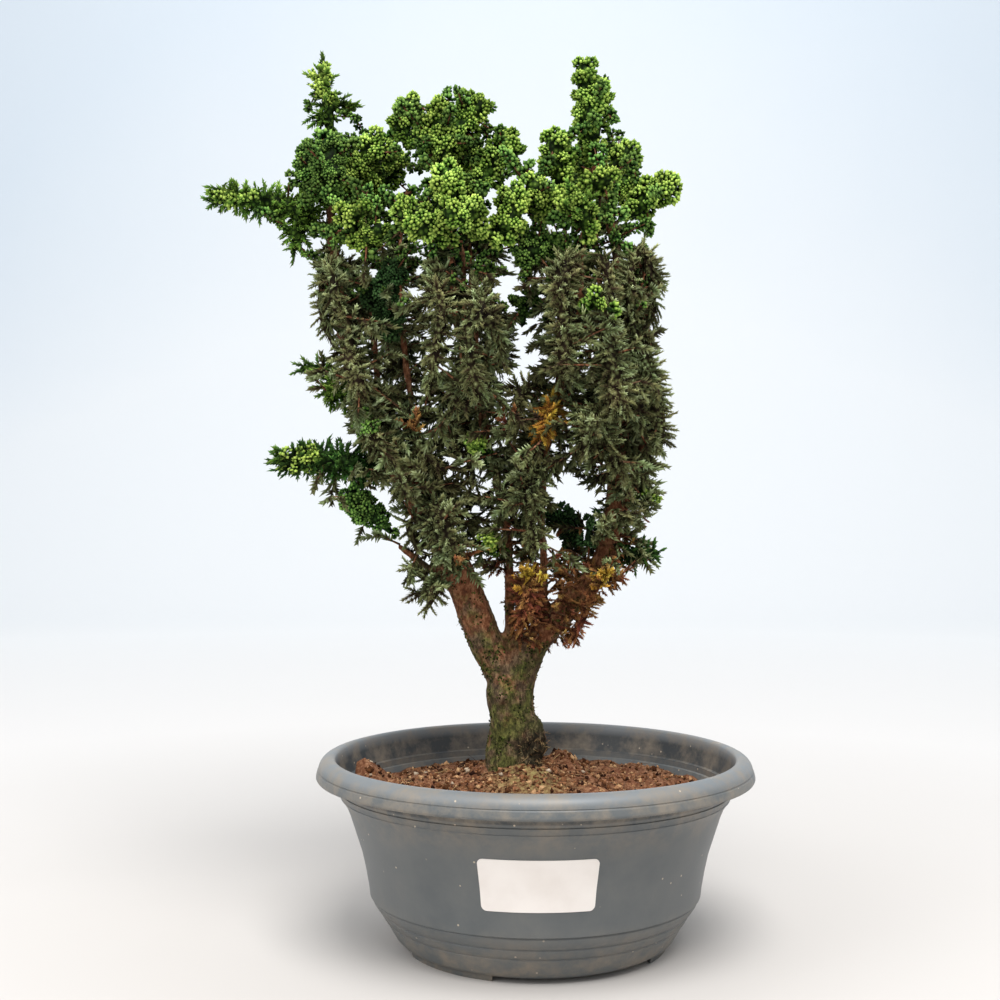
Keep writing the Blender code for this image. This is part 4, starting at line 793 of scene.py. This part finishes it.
lump_masters = [lobed_lump(25, 3.3, flatness) for flatness in (1.0, 0.85, 0.7, 0.9, 0.62)]
small_lumps = [lobed_lump(9, 2.2, flatness) for flatness in (1.0, 0.8, 0.65)]
fine_fronds = [frond(21, 0.56, 2.6, curl) for curl in (0.1, 0.2, 0.32, 0.0, 0.25)]
coarse_fronds = [frond(13, 0.85, 3.3, curl) for curl in (0.1, 0.3, -0.1)]
for name, masters in (("lump", lump_masters), ("small lump", small_lumps), ("frond", fine_fronds),
                      ("coarse frond", coarse_fronds)):
    print("triangles of a", name, len(masters[0][1]))

# %% [markdown]
# ## Where the sprigs grow
#
# Each leafy CAD branch is a stem with coarse tips. Sprigs are strewn over its surface by a seeded rule
# that keeps them a set distance apart. A sprig grows away from the middle of the leaves round it. Up on
# the tops it leans towards the light, and on the hanging branches it droops. Rays sent out through the
# crown tell how open a place is, and leaves deep inside are painted darker: painted shade.

# %% The dark core of each leafy branch
leafy = sorted(name for name, slot in slots.items() if slot.endswith("leaves"))


def core_of(node):
    """The CAD branch with its coarse tips smoothed down: the stems behind the sprigs."""
    bm = merged_copy(node)
    even_out(bm, 4)
    points, faces, _ = read_master(bm, lambda points: points[:, 2] * 0)
    return points, faces


cores = {node: core_of(node) for node in leafy}
wood_points, wood_faces, _ = read_master(merged_copy("wood"), lambda points: points[:, 2] * 0)
wood_corners = wood_points[wood_faces]
crown_corners = np.concatenate([points[faces] for points, faces in cores.values()] + [wood_corners])
crown = BVHTree.FromPolygons(
    crown_corners.reshape(-1, 3).tolist(),
    np.arange(len(crown_corners) * 3).reshape(-1, 3).tolist(),
)

# %% How open a place is
SKY = [Vector((math.sin(t) * math.cos(a), math.sin(t) * math.sin(a), math.cos(t)))
       for t, a in [(0.15, 0)] + [(1.0, i * math.tau / 5) for i in range(5)]
       + [(1.5, 0.6 + i * math.tau / 6) for i in range(6)]]


SKY_REACH, ROOM_REACH = 0.12, 0.08     # metres: how far a ray looks for the crown


def openness(spot, way):
    """Share of rays that leave the crown from a place."""
    start = Vector(spot) + Vector(way) * 3 * MM
    free = sum(crown.ray_cast(start, ray, SKY_REACH)[0] is None for ray in SKY + [Vector(way)] * 3)
    return free / (len(SKY) + 3)


def room_ahead(spot, way):
    """Distance in millimetres to the next stem or limb straight ahead, or 200 where there is none."""
    struck = crown.ray_cast(Vector(spot) + Vector(way) * MM, Vector(way), ROOM_REACH)
    return 200.0 if struck[0] is None else struck[3] / MM + 1


# %% Spread places over a surface
NEIGHBOURHOOD = 0.014     # metres: a sprig grows away from the middle of the leaves within this reach


def random_places(corners, density, local):
    """Random places on triangles, so many to a square metre: positions and normals."""
    cross = np.cross(corners[:, 1] - corners[:, 0], corners[:, 2] - corners[:, 0])
    area = np.linalg.norm(cross, axis=1) / 2
    count = int(area.sum() * density) + 30
    face = local.choice(len(area), count, p=area / area.sum())
    u, v = local.random((2, count))
    fold = u + v > 1
    u[fold], v[fold] = 1 - u[fold], 1 - v[fold]
    a, b, c = corners[face].transpose(1, 0, 2)
    spots = a + u[:, None] * (b - a) + v[:, None] * (c - a)
    return spots, cross[face] / (2 * area[face, None] + 1e-12)


def spread_places(corners, spacing, seed):
    """Places on triangles at least about a spacing apart: positions, normals and outward ways."""
    spots, normals = random_places(corners, 9 / spacing ** 2, np.random.default_rng(seed))
    kept, cells = [], {}
    for i, cell in enumerate(map(tuple, np.floor(spots / spacing).astype(int))):
        near = [j for dx in (-1, 0, 1) for dy in (-1, 0, 1) for dz in (-1, 0, 1)
                for j in cells.get((cell[0] + dx, cell[1] + dy, cell[2] + dz), ())]
        if near and np.linalg.norm(spots[near] - spots[i], axis=1).min() < spacing:
            continue
        kept.append(i)
        cells.setdefault(cell, []).append(i)
    away = np.linalg.norm(spots[kept][:, None] - spots[None], axis=2)
    weight = (away < NEIGHBOURHOOD).astype(float)
    middle = weight @ spots / weight.sum(axis=1, keepdims=True)
    outward = spots[kept] - middle
    outward /= np.linalg.norm(outward, axis=1, keepdims=True) + 1e-9
    return spots[kept], normals[kept], outward


# %% [markdown]
# ** Scale leaves.** Waxy and satin. A sprig runs from a nearly black foot, through its own green, to a
# bright tip: the young tips' own paler colour, with painted shade at the foot and between the lobes. Each
# kind of branch has its own four colours: lime on the tops, grey-olive where it hangs, gold where it
# yellows, and rust where it has died.

# %% Leaf materials
def leaf_material(name, stops, roughness, hue=0.015, uneven=0.3):
    """Leaves of one kind. The stops run from a sprig's foot, in painted shade, to its tip. Hue strays by
    the copy's own share; brightness is mottled by noise and takes painted light and shade from the openness
    share."""
    material, add, shader, place = start_material(name, roughness, 1.45, 0.05)
    tip, own, light, on_a_sprig = growth_shares(add)
    # On the core, a cell pattern paints knob tips bright and the crevices between them in painted shade.
    knobs = add("TexVoronoi", (place, 330))
    painted_knob_tips_and_crevices = add("MapRange", (knobs, 0.75, 0.05, 0.1, 0.8))
    tip_share_and_painted_crevices = add("Mix", (on_a_sprig, painted_knob_tips_and_crevices, tip), data_type="FLOAT")
    fresh = add("MapRange", (own, 0, 1, 0.78, 1.12))
    fresher = add("Math", (tip_share_and_painted_crevices, fresh), operation="MULTIPLY")
    along = add("ValToRGB", (fresher,), stops=stops)
    mottle = add("TexNoise", (place, 60, 3))
    drift = add("TexNoise", (place, 45, 2))
    both = add("Math", (own, 0.35, drift), operation="MULTIPLY_ADD")
    turn = add("MapRange", (both, 0.4, 0.95, 0.5 - hue, 0.5 + hue))
    bright = add("MapRange", (mottle, 0.35, 0.65, 1 - uneven, 1 + uneven))
    # Painted light and shade: leaves in open places are brightened up to 1.25 times, and leaves deep in the
    # crown are darkened to a quarter.
    painted_light_and_shade = add("MapRange", (light, 0.05, 0.65, 0.25, 1.25))
    value = add("Math", (bright, painted_light_and_shade), operation="MULTIPLY")
    tinted = add("HueSaturation", {"Color": along, "Hue": turn, "Value": value})
    scales = add("TexVoronoi", (place, 900))
    coat(add, shader, tinted, scales, 0.35, 0.0004)
    return material


leaf_finishes = {
    "lime_leaves": leaf_material(
        "lime cypress leaves",
        [(0, "#0a1106"), (0.3, "#1d2f0f"), (0.62, "#4f6d27"), (1, "#aec25c")], 0.6),
    "green_leaves": leaf_material(
        "green cypress leaves",
        [(0, "#0a1007"), (0.3, "#17270f"), (0.65, "#335122"), (1, "#7c9c4a")], 0.6, 0.02, 0.4),
    "dark_leaves": leaf_material(
        "shaded cypress leaves",
        [(0, "#0a1108"), (0.4, "#1b2d17"), (0.75, "#314b29"), (1, "#4e6c3e")], 0.6),
    "olive_leaves": leaf_material(
        "old olive cypress leaves",
        [(0, "#0f0906"), (0.28, "#2f2719"), (0.58, "#6f754a"), (1, "#c9d1a0")], 0.65, 0.04, 0.45),
    "gold_leaves": leaf_material(
        "yellowed cypress leaves",
        [(0, "#23150a"), (0.3, "#64461b"), (0.6, "#b58a36"), (1, "#ecd070")], 0.6, 0.03),
    "dead_leaves": leaf_material(
        "withered cypress leaves",
        [(0, "#1a0f09"), (0.3, "#553523"), (0.65, "#9c6b40"), (1, "#d4a876")], 0.8, 0.03, 0.5),
}

# %% Grow the sprigs
# For each kind: masters, spacing, size, lean towards the sky, how deep the foot is, the master's length,
# and how far the sprigs stray from one direction
HABITS = {
    "lime_leaves": (lump_masters, 5.4, 1.0, 0.45, 1.6, LUMP_LENGTH, 0.2),
    "green_leaves": (lump_masters, 4.4, 0.8, 0.15, 1.3, LUMP_LENGTH, 0.25),
    "dark_leaves": (lump_masters, 4.4, 0.8, 0.1, 1.3, LUMP_LENGTH, 0.25),
    "gold_leaves": (fine_fronds, 2.2, 1.0, -0.2, 1.5, FROND_LENGTH, 0.4),
    "olive_leaves": (fine_fronds, 2.85, 1.0, -0.3, 1.6, FROND_LENGTH, 0.33),
    "dead_leaves": (fine_fronds, 2.3, 0.8, -0.1, 1.5, FROND_LENGTH, 0.55),
    "ferny": (coarse_fronds, 2.9, 0.95, 0.0, 1.6, FROND_LENGTH, 0.3),
}
# Young shoots that run out into loose fern-like sprays, not lumps
FERNY = ("left_spire", "left_wing", "left_lime_cluster", "arm_upper", "right_low_spray")


def sprigs_on(corners, kind, seed, spacing_share=1.0):
    """Matrices and shares for the sprigs of one kind on a surface."""
    masters, spacing, size, lean, sunk, length, stray = HABITS[kind]
    spots, normals, outward = spread_places(corners, spacing * spacing_share * MM, seed)
    local = np.random.default_rng(seed + 1000)
    matrices, shares = [], []
    for spot, normal, out in zip(spots, normals, outward):
        way = Vector(0.6 * out + 0.5 * normal + np.array((0, 0, lean)) + local.normal(0, stray, 3))
        way.normalize()
        room = room_ahead(spot, way)
        if room < 3:
            continue
        scale = size * local.uniform(0.82, 1.15)
        if room < 90:
            scale *= 1.25
        scale = min(scale, max(0.6, (room + 2) / length))
        foot = Vector(spot) - way * sunk * MM
        face = Vector(out + local.normal(0, 0.35, 3))
        matrices.append(laid_along(way, face, scale, foot))
        # The openness is kept for the painted light and shade of the leaves.
        shares.append(openness(spot, way))
    return np.array(matrices), np.array(shares)


def grow(node, seed):
    """A leafy branch: its dark core and the sprigs over it."""
    kind = slots[node]
    habit = "ferny" if node in FERNY else kind
    points, faces = cores[node]
    matrices, shares = sprigs_on(points[faces], habit, seed)
    if habit == "ferny":
        # Ferny sprays get less painted shade: their openness is raised.
        shares = 0.55 + 0.45 * shares      # loose sprays let the light through
    local = np.random.default_rng(seed + 2000)
    masters = HABITS[habit][0]
    tint = np.zeros((len(points), 4))
    # The core gets a low openness of 0.35: painted shade, as if deep in the crown.
    tint[:, 1:3] = (0.5, 0.35)
    count = len(matrices)
    mesh = copies_mesh(
        node + "_sprigs", masters, local.integers(0, len(masters), count), matrices,
        local.random(count), shares, (points, faces, tint),
    )
    finish_piece(node + "_sprigs", mesh, leaf_finishes[kind], kind, node, smooth=False)
    return count


sprig_counts = {node: grow(node, 100 + i) for i, node in enumerate(leafy)}
for kind in leaf_finishes:
    print(kind, sum(count for node, count in sprig_counts.items() if slots[node] == kind))

# %% [markdown]
# Within the crown, the limbs and the leafy branches carry shoots of their own: a thin brown twig with
# sprigs along it. They close the dark middle between the hanging branches. A shoot stays inside the
# crown's outline, so the plant keeps its shape, and out of the gaps where the sky shows through. Both are
# drawn as they are seen in the picture: the outline as points, a gap as left, top, right and bottom.

# %% Outline of the crown and its gaps
CROWN_OUTLINE = [
    (212, 200), (240, 192), (268, 190), (292, 162), (302, 130), (307, 90), (318, 66), (342, 80),
    (358, 110), (372, 127), (390, 120), (396, 98), (420, 90), (455, 85), (480, 90), (495, 100),
    (505, 122), (524, 134), (530, 162), (542, 150), (556, 122), (570, 105), (570, 66), (585, 60),
    (610, 74), (619, 98), (623, 128), (643, 148), (664, 166), (680, 182), (680, 198), (662, 210),
    (654, 240), (656, 300), (660, 420), (662, 440), (659, 490), (655, 512), (632, 530), (660, 547),
    (658, 560), (636, 572), (622, 585), (596, 608), (586, 636), (560, 650), (545, 650), (512, 645),
    (506, 600), (480, 588), (458, 588), (440, 598), (416, 592), (392, 566), (352, 534), (322, 503),
    (300, 482), (272, 466), (292, 455), (340, 454), (384, 458), (372, 432), (349, 418), (342, 402),
    (316, 402), (298, 372), (337, 358), (343, 345), (324, 310), (310, 262), (276, 232), (266, 214),
    (228, 208),
]
SKY_GAPS = [
    (342, 245, 364, 268), (366, 326, 382, 350), (376, 356, 409, 382), (511, 242, 525, 267),
    (533, 285, 545, 305), (512, 352, 530, 375), (546, 422, 555, 440), (590, 263, 600, 275),
    (550, 480, 600, 520), (546, 520, 560, 550), (578, 500, 590, 550), (484, 566, 504, 596),
    (362, 481, 396, 500), (372, 498, 406, 512), (384, 511, 404, 530), (403, 530, 422, 560),
]
CROWN_FRONT, CROWN_BACK = -0.062, 0.072     # metres from the bowl's axis
PICTURE = 1000                             # points across and down
camera_turn = camera.rotation_euler.to_matrix().inverted()


def in_picture(spot):
    """Where a place falls in the picture, in points from its top left corner."""
    seen = camera_turn @ (Vector(spot) - camera.location)
    reach = PICTURE * camera.data.lens / camera.data.sensor_width / -seen.z
    return PICTURE / 2 + seen.x * reach, PICTURE / 2 - seen.y * reach


def inside_crown(spot):
    """Whether a place is within the crown's outline and depth, and not in a gap."""
    x, y = in_picture(spot)
    if not CROWN_FRONT < spot[1] - axis.y < CROWN_BACK:
        return False
    if any(left < x < right and top < y < bottom for left, top, right, bottom in SKY_GAPS):
        return False
    crossings = 0
    for (x1, y1), (x2, y2) in zip(CROWN_OUTLINE, CROWN_OUTLINE[1:] + CROWN_OUTLINE[:1]):
        if (y1 > y) != (y2 > y) and x < x1 + (y - y1) * (x2 - x1) / (y2 - y1):
            crossings += 1
    return crossings % 2 == 1


# %% Shoots inside the crown
SHOOT_KINDS = ("green_leaves", "olive_leaves", "dead_leaves")
LOBES_ABOVE = 0.392     # metres: over this height the inner shoots carry lobes, under it needles
DEAD_BELOW = 0.232      # metres: under this height, in the fork, they have withered
SHORTEST_SHOOT = 6      # millimetres
SPRIG_STEP = 3.8        # millimetres between the sprigs of a shoot


def twig_shape():
    bm = bmesh.new()
    bmesh.ops.create_cone(bm, cap_ends=True, segments=3, radius1=0.9, radius2=0.4, depth=1)
    bmesh.ops.translate(bm, verts=bm.verts, vec=(0, 0, 0.5))
    return read_master(bm, lambda points: points[:, 2] * 0 + 0.4)


def shoots_from(corners, spacing, seed, sprigs, twigs):
    """Adds the matrices and openness of the sprigs and twigs of shoots that grow from a surface."""
    spots, normals, outward = spread_places(corners, spacing * MM, seed)
    local = np.random.default_rng(seed + 500)
    for spot, normal, out in zip(spots, normals, outward):
        way = Vector(0.5 * out + 0.8 * normal + np.array((0, 0, 0.1)) + local.normal(0, 0.25, 3))
        way.normalize()
        reach = min(local.uniform(11, 27), room_ahead(spot, way) - SHORTEST_SHOOT)
        while reach > SHORTEST_SHOOT and not inside_crown(Vector(spot) + way * (reach + 5) * MM):
            reach -= 4
        if reach < SHORTEST_SHOOT or not inside_crown(Vector(spot) + way * reach / 2 * MM):
            continue
        # Inner shoots get more painted shade: their openness is cut to 0.6 of the measured one.
        painted_light_share = 0.6 * openness(spot, way)
        twigs.append((turned_to(way, 0, Vector((1, 1, reach)) * MM, Vector(spot) - way * MM), painted_light_share))
        for step in range(int(reach / SPRIG_STEP) + 1):
            along = reach - SPRIG_STEP * step
            if along < 3:
                break
            foot = Vector(spot) + way * (along - 1.5) * MM
            kind = 0 if foot.z > LOBES_ABOVE + local.normal(0, 0.012) else 1
            if foot.x > axis.x - 0.035 and foot.z < DEAD_BELOW + local.normal(0, 0.012):
                kind = 2
            lean = Vector(local.normal(0, 0.6, 3)) if step else Vector((0, 0, 0))
            aim = (way + lean + Vector((0, 0, 0.3 if kind == 0 else -0.5))).normalized()
            scale = (local.uniform(0.85, 1.25), local.uniform(1.05, 1.5), local.uniform(0.7, 1.0))[kind]
            face = Vector(local.normal(0, 0.5, 3)) + Vector((0, -0.6, 0.3))
            sprigs[kind].append((laid_along(aim, face, scale, foot), painted_light_share))


sprigs, twigs = ([], [], []), []
lowest = wood_corners[:, :, 2].min(axis=1)
upper = wood_corners[lowest > np.where(wood_corners[:, :, 0].max(axis=1) < axis.x - 0.045, 0.205, 0.245)]
fork = wood_corners[(lowest > 0.172) & (lowest < 0.245)
                    & (wood_corners[:, :, 0].min(axis=1) > axis.x - 0.035)]
shoots_from(upper, 6.2, 5000, sprigs, twigs)
shoots_from(fork, 4.2, 5001, sprigs, twigs)
for i, node in enumerate(leafy):
    points, faces = cores[node]
    shoots_from(points[faces], 9, 5100 + i, sprigs, twigs)
local = np.random.default_rng(71)


def many(name, masters, placed, material, slot):
    """One piece from a list of (matrix, openness) and the masters to copy."""
    count = len(placed)
    mesh = copies_mesh(
        name, masters, local.integers(0, len(masters), count), np.array([m for m, _ in placed]),
        local.random(count), np.array([share for _, share in placed]),
    )
    return finish_piece(name, mesh, material, slot, smooth=False)


for kind, masters, placed in zip(SHOOT_KINDS, (small_lumps, coarse_fronds, fine_fronds), sprigs):
    many("inner_" + kind, masters, placed, leaf_finishes[kind], kind)
many("inner_twigs", [twig_shape()], twigs, bark, "bark")
print("shoots", len(twigs), "with sprigs", [len(placed) for placed in sprigs])

# %% Sprigs on the limbs themselves
matrices, shares = sprigs_on(upper, "olive_leaves", 7, 1.7)
many("limb_sprigs", coarse_fronds, list(zip(matrices, shares)), leaf_finishes["olive_leaves"],
     "olive_leaves")
print("sprigs on the limbs", len(matrices))

# %% [markdown]
# Here and there a tuft stands out from the hanging branches, fresh green or gold, or withered near the
# limbs. Each is written as its place in the picture, its reach and its kind, and its sprigs sit on
# whatever is foremost there.

# %% Tufts that stand out
TUFTS = [
    (470, 442, 13, "lime_leaves"), (484, 541, 13, "lime_leaves"), (300, 458, 20, "lime_leaves"),
    (232, 192, 20, "lime_leaves"), (320, 78, 12, "lime_leaves"), (332, 95, 12, "lime_leaves"),
    (578, 196, 18, "lime_leaves"), (436, 430, 12, "green_leaves"), (362, 428, 12, "green_leaves"),
    (466, 572, 15, "dead_leaves"), (500, 415, 12, "dead_leaves"), (420, 425, 10, "dead_leaves"),
    (526, 584, 12, "gold_leaves"), (562, 572, 13, "gold_leaves"), (600, 572, 12, "gold_leaves"),
]
TUFT_MASTERS = {"lime_leaves": small_lumps + coarse_fronds, "green_leaves": small_lumps,
                "gold_leaves": coarse_fronds, "dead_leaves": coarse_fronds}
local = np.random.default_rng(81)
spots = np.concatenate([random_places(cores[node][0][cores[node][1]], 6e4, local)[0] for node in leafy])
seen = np.array([in_picture(spot) for spot in spots])
for kind, masters in TUFT_MASTERS.items():
    placed = []
    for x, y, reach in [tuft[:3] for tuft in TUFTS if tuft[3] == kind]:
        near = spots[np.hypot(seen[:, 0] - x, seen[:, 1] - y) < reach]
        front = near[near[:, 1] < near[:, 1].min(initial=1) + 0.014]
        for spot in local.permutation(front)[:int(reach * 1.5)]:
            way = Vector((local.normal(0, 0.45), -0.8, local.normal(0.35, 0.4))).normalized()
            face = Vector(local.normal(0, 0.5, 3)) + Vector((0, -0.6, 0.3))
            foot = Vector(spot) + way * local.uniform(1, 5) * MM
            # The tufts get a high openness of 0.9: painted light, as if open to the sky.
            placed.append((laid_along(way, face, local.uniform(0.8, 1.2), foot), 0.9))
    many("tufts_" + kind, masters, placed, leaf_finishes[kind], kind)
    print("tufts", kind, len(placed))

# %% [markdown]
# ## Moss and old root fibre on the trunk
#
# Cushion moss sits in patches on the lower trunk, as tiny green grains. Dead root fibre hangs about the
# burl and the trunk's foot, so the wood doesn't end in a clean line on the peat.

# %% Moss and root fibre
moss, add, shader, place = start_material("cushion moss", 0.9, 1.45, 0.05)
own = growth_shares(add)[1]
greens = add("ValToRGB", (own,), stops=[(0.1, "#181c0b"), (0.6, "#363c1a"), (1, "#626a34")])
fuzz = add("TexNoise", (place, 1500, 2))
shade = add("MapRange", (fuzz, 0, 1, 0.5, 1.5))
mottled = add("HueSaturation", {"Color": greens, "Value": shade})
coat(add, shader, mottled)
foot = wood_corners[(lowest > 0.088) & (lowest < 0.215)]
local = np.random.default_rng(32)
spots, normals = random_places(foot, 3.2e5, local)
tufts, fibres = [], []
for spot, normal in zip(spots, normals):
    patch = noise.noise(Vector(spot) / 0.009) + 0.12 - 2.2 * max(0.0, spot[2] - 0.15)
    if patch > local.uniform(-0.1, 0.25) and (Vector(spot) - BURL).length > 0.018:
        size = Vector((1, 1, 0.6)) * local.uniform(0.4, 0.9) * MM
        tufts.append((turned_to(normal, local.uniform(0, math.tau), size, spot), 1))
    swelling = max(0.0, 1 - (Vector(spot) - BURL).length / 0.022)
    if local.random() < 0.75 * swelling + (0.35 if spot[2] < 0.104 else 0.02):
        way = Vector(normal * 0.8 + local.normal(0, 0.7, 3))
        size = Vector((0.3, 0.3, local.uniform(1.2, 3.2))) * MM
        fibres.append((turned_to(way, local.uniform(0, math.tau), size, Vector(spot) + way * 0.6 * MM), 1))
many("moss_grains", crumbs, tufts, moss, "bark")
many("root_fibres", straws, fibres, straw, "bark")
print("moss grains", len(tufts), "and root fibres", len(fibres))

# %% [markdown]
# ## Light, floor and backdrop
#
# A photographer's seamless sheet: it lies under the bowl, and far behind the plant it curves up, so that
# no line shows between floor and wall. It is warm white on the floor and a cooler grey higher up.

# %% Floor
bend = [(2.4 + 1.2 * math.sin(t), 1.2 - 1.2 * math.cos(t)) for t in np.linspace(0, math.pi / 2, 13)]
bm = bmesh.new()
_, edges = drawn_line(bm, [(-4.5, y, z) for y, z in [(-4, 0)] + bend + [(3.6, 4.5)]])
drawn = bmesh.ops.extrude_edge_only(bm, edges=edges)["geom"]
bmesh.ops.translate(bm, verts=[v for v in drawn if isinstance(v, bmesh.types.BMVert)], vec=(9, 0, 0))
bmesh.ops.recalc_face_normals(bm, faces=bm.faces)
floor_mesh = mesh_of(bm, "floor")
floor_mesh.shade_smooth()
matt, add, shader, place = start_material("matt studio sheet", 0.9, 1.45, 0.1)
away = add("VectorMath", (place,), operation="LENGTH")
faint = add("TexNoise", (place, 3, 3))
wavering = add("Math", (faint, 0.1, away), operation="MULTIPLY_ADD")
share = add("MapRange", (wavering, 0, 4.5))
tone = add("ValToRGB", (share,), stops=[(0.05, "#cbc6c1"), (0.2, "#e4e1de"), (0.5, "#f4f4f3"),
           (0.84, "#f3f6f8"), (0.95, "#e4edf5")])
coat(add, shader, tone)
floor_mesh.materials.append(matt)
floor = add_object("floor", floor_mesh)

# %% [markdown]
# The light is soft: a bright surround, a large softbox over the front, and a weaker one on the left. The
# tops are lit, and the inside of the crown stays dark, also by the painted shade on its leaves.

# %% Lights
world = bpy.data.worlds.new("pale surround")
world.use_nodes = True
world.node_tree.nodes["Background"].inputs["Color"].default_value = linear("#f1f4f8")
world.node_tree.nodes["Background"].inputs["Strength"].default_value = 0.75
bpy.context.scene.world = world


def softbox(name, place, size, power, aim=axis + Vector((0, 0, 0.28))):
    """A square light that faces the plant, or another aim."""
    light = bpy.data.lights.new(name, "AREA")
    light.size = size
    light.energy = power
    lamp = add_object(name, light)
    lamp.location = place
    lamp.rotation_euler = (aim - lamp.location).to_track_quat("-Z", "Y").to_euler()


softbox("softbox_top", Vector((0.2, -0.8, 1.5)), 0.9, 27)
softbox("softbox_left", Vector((-1.1, -0.8, 0.9)), 0.8, 6)
softbox("backdrop_light", Vector((0, 1.2, 3.2)), 2.0, 31, Vector((0, 3.6, 1.0)))

# %% Sizes and the end
total = sum(triangle_count.values())
print("most triangles in a piece", max(triangle_count.items(), key=lambda item: item[1]))
print("triangles in all", total)
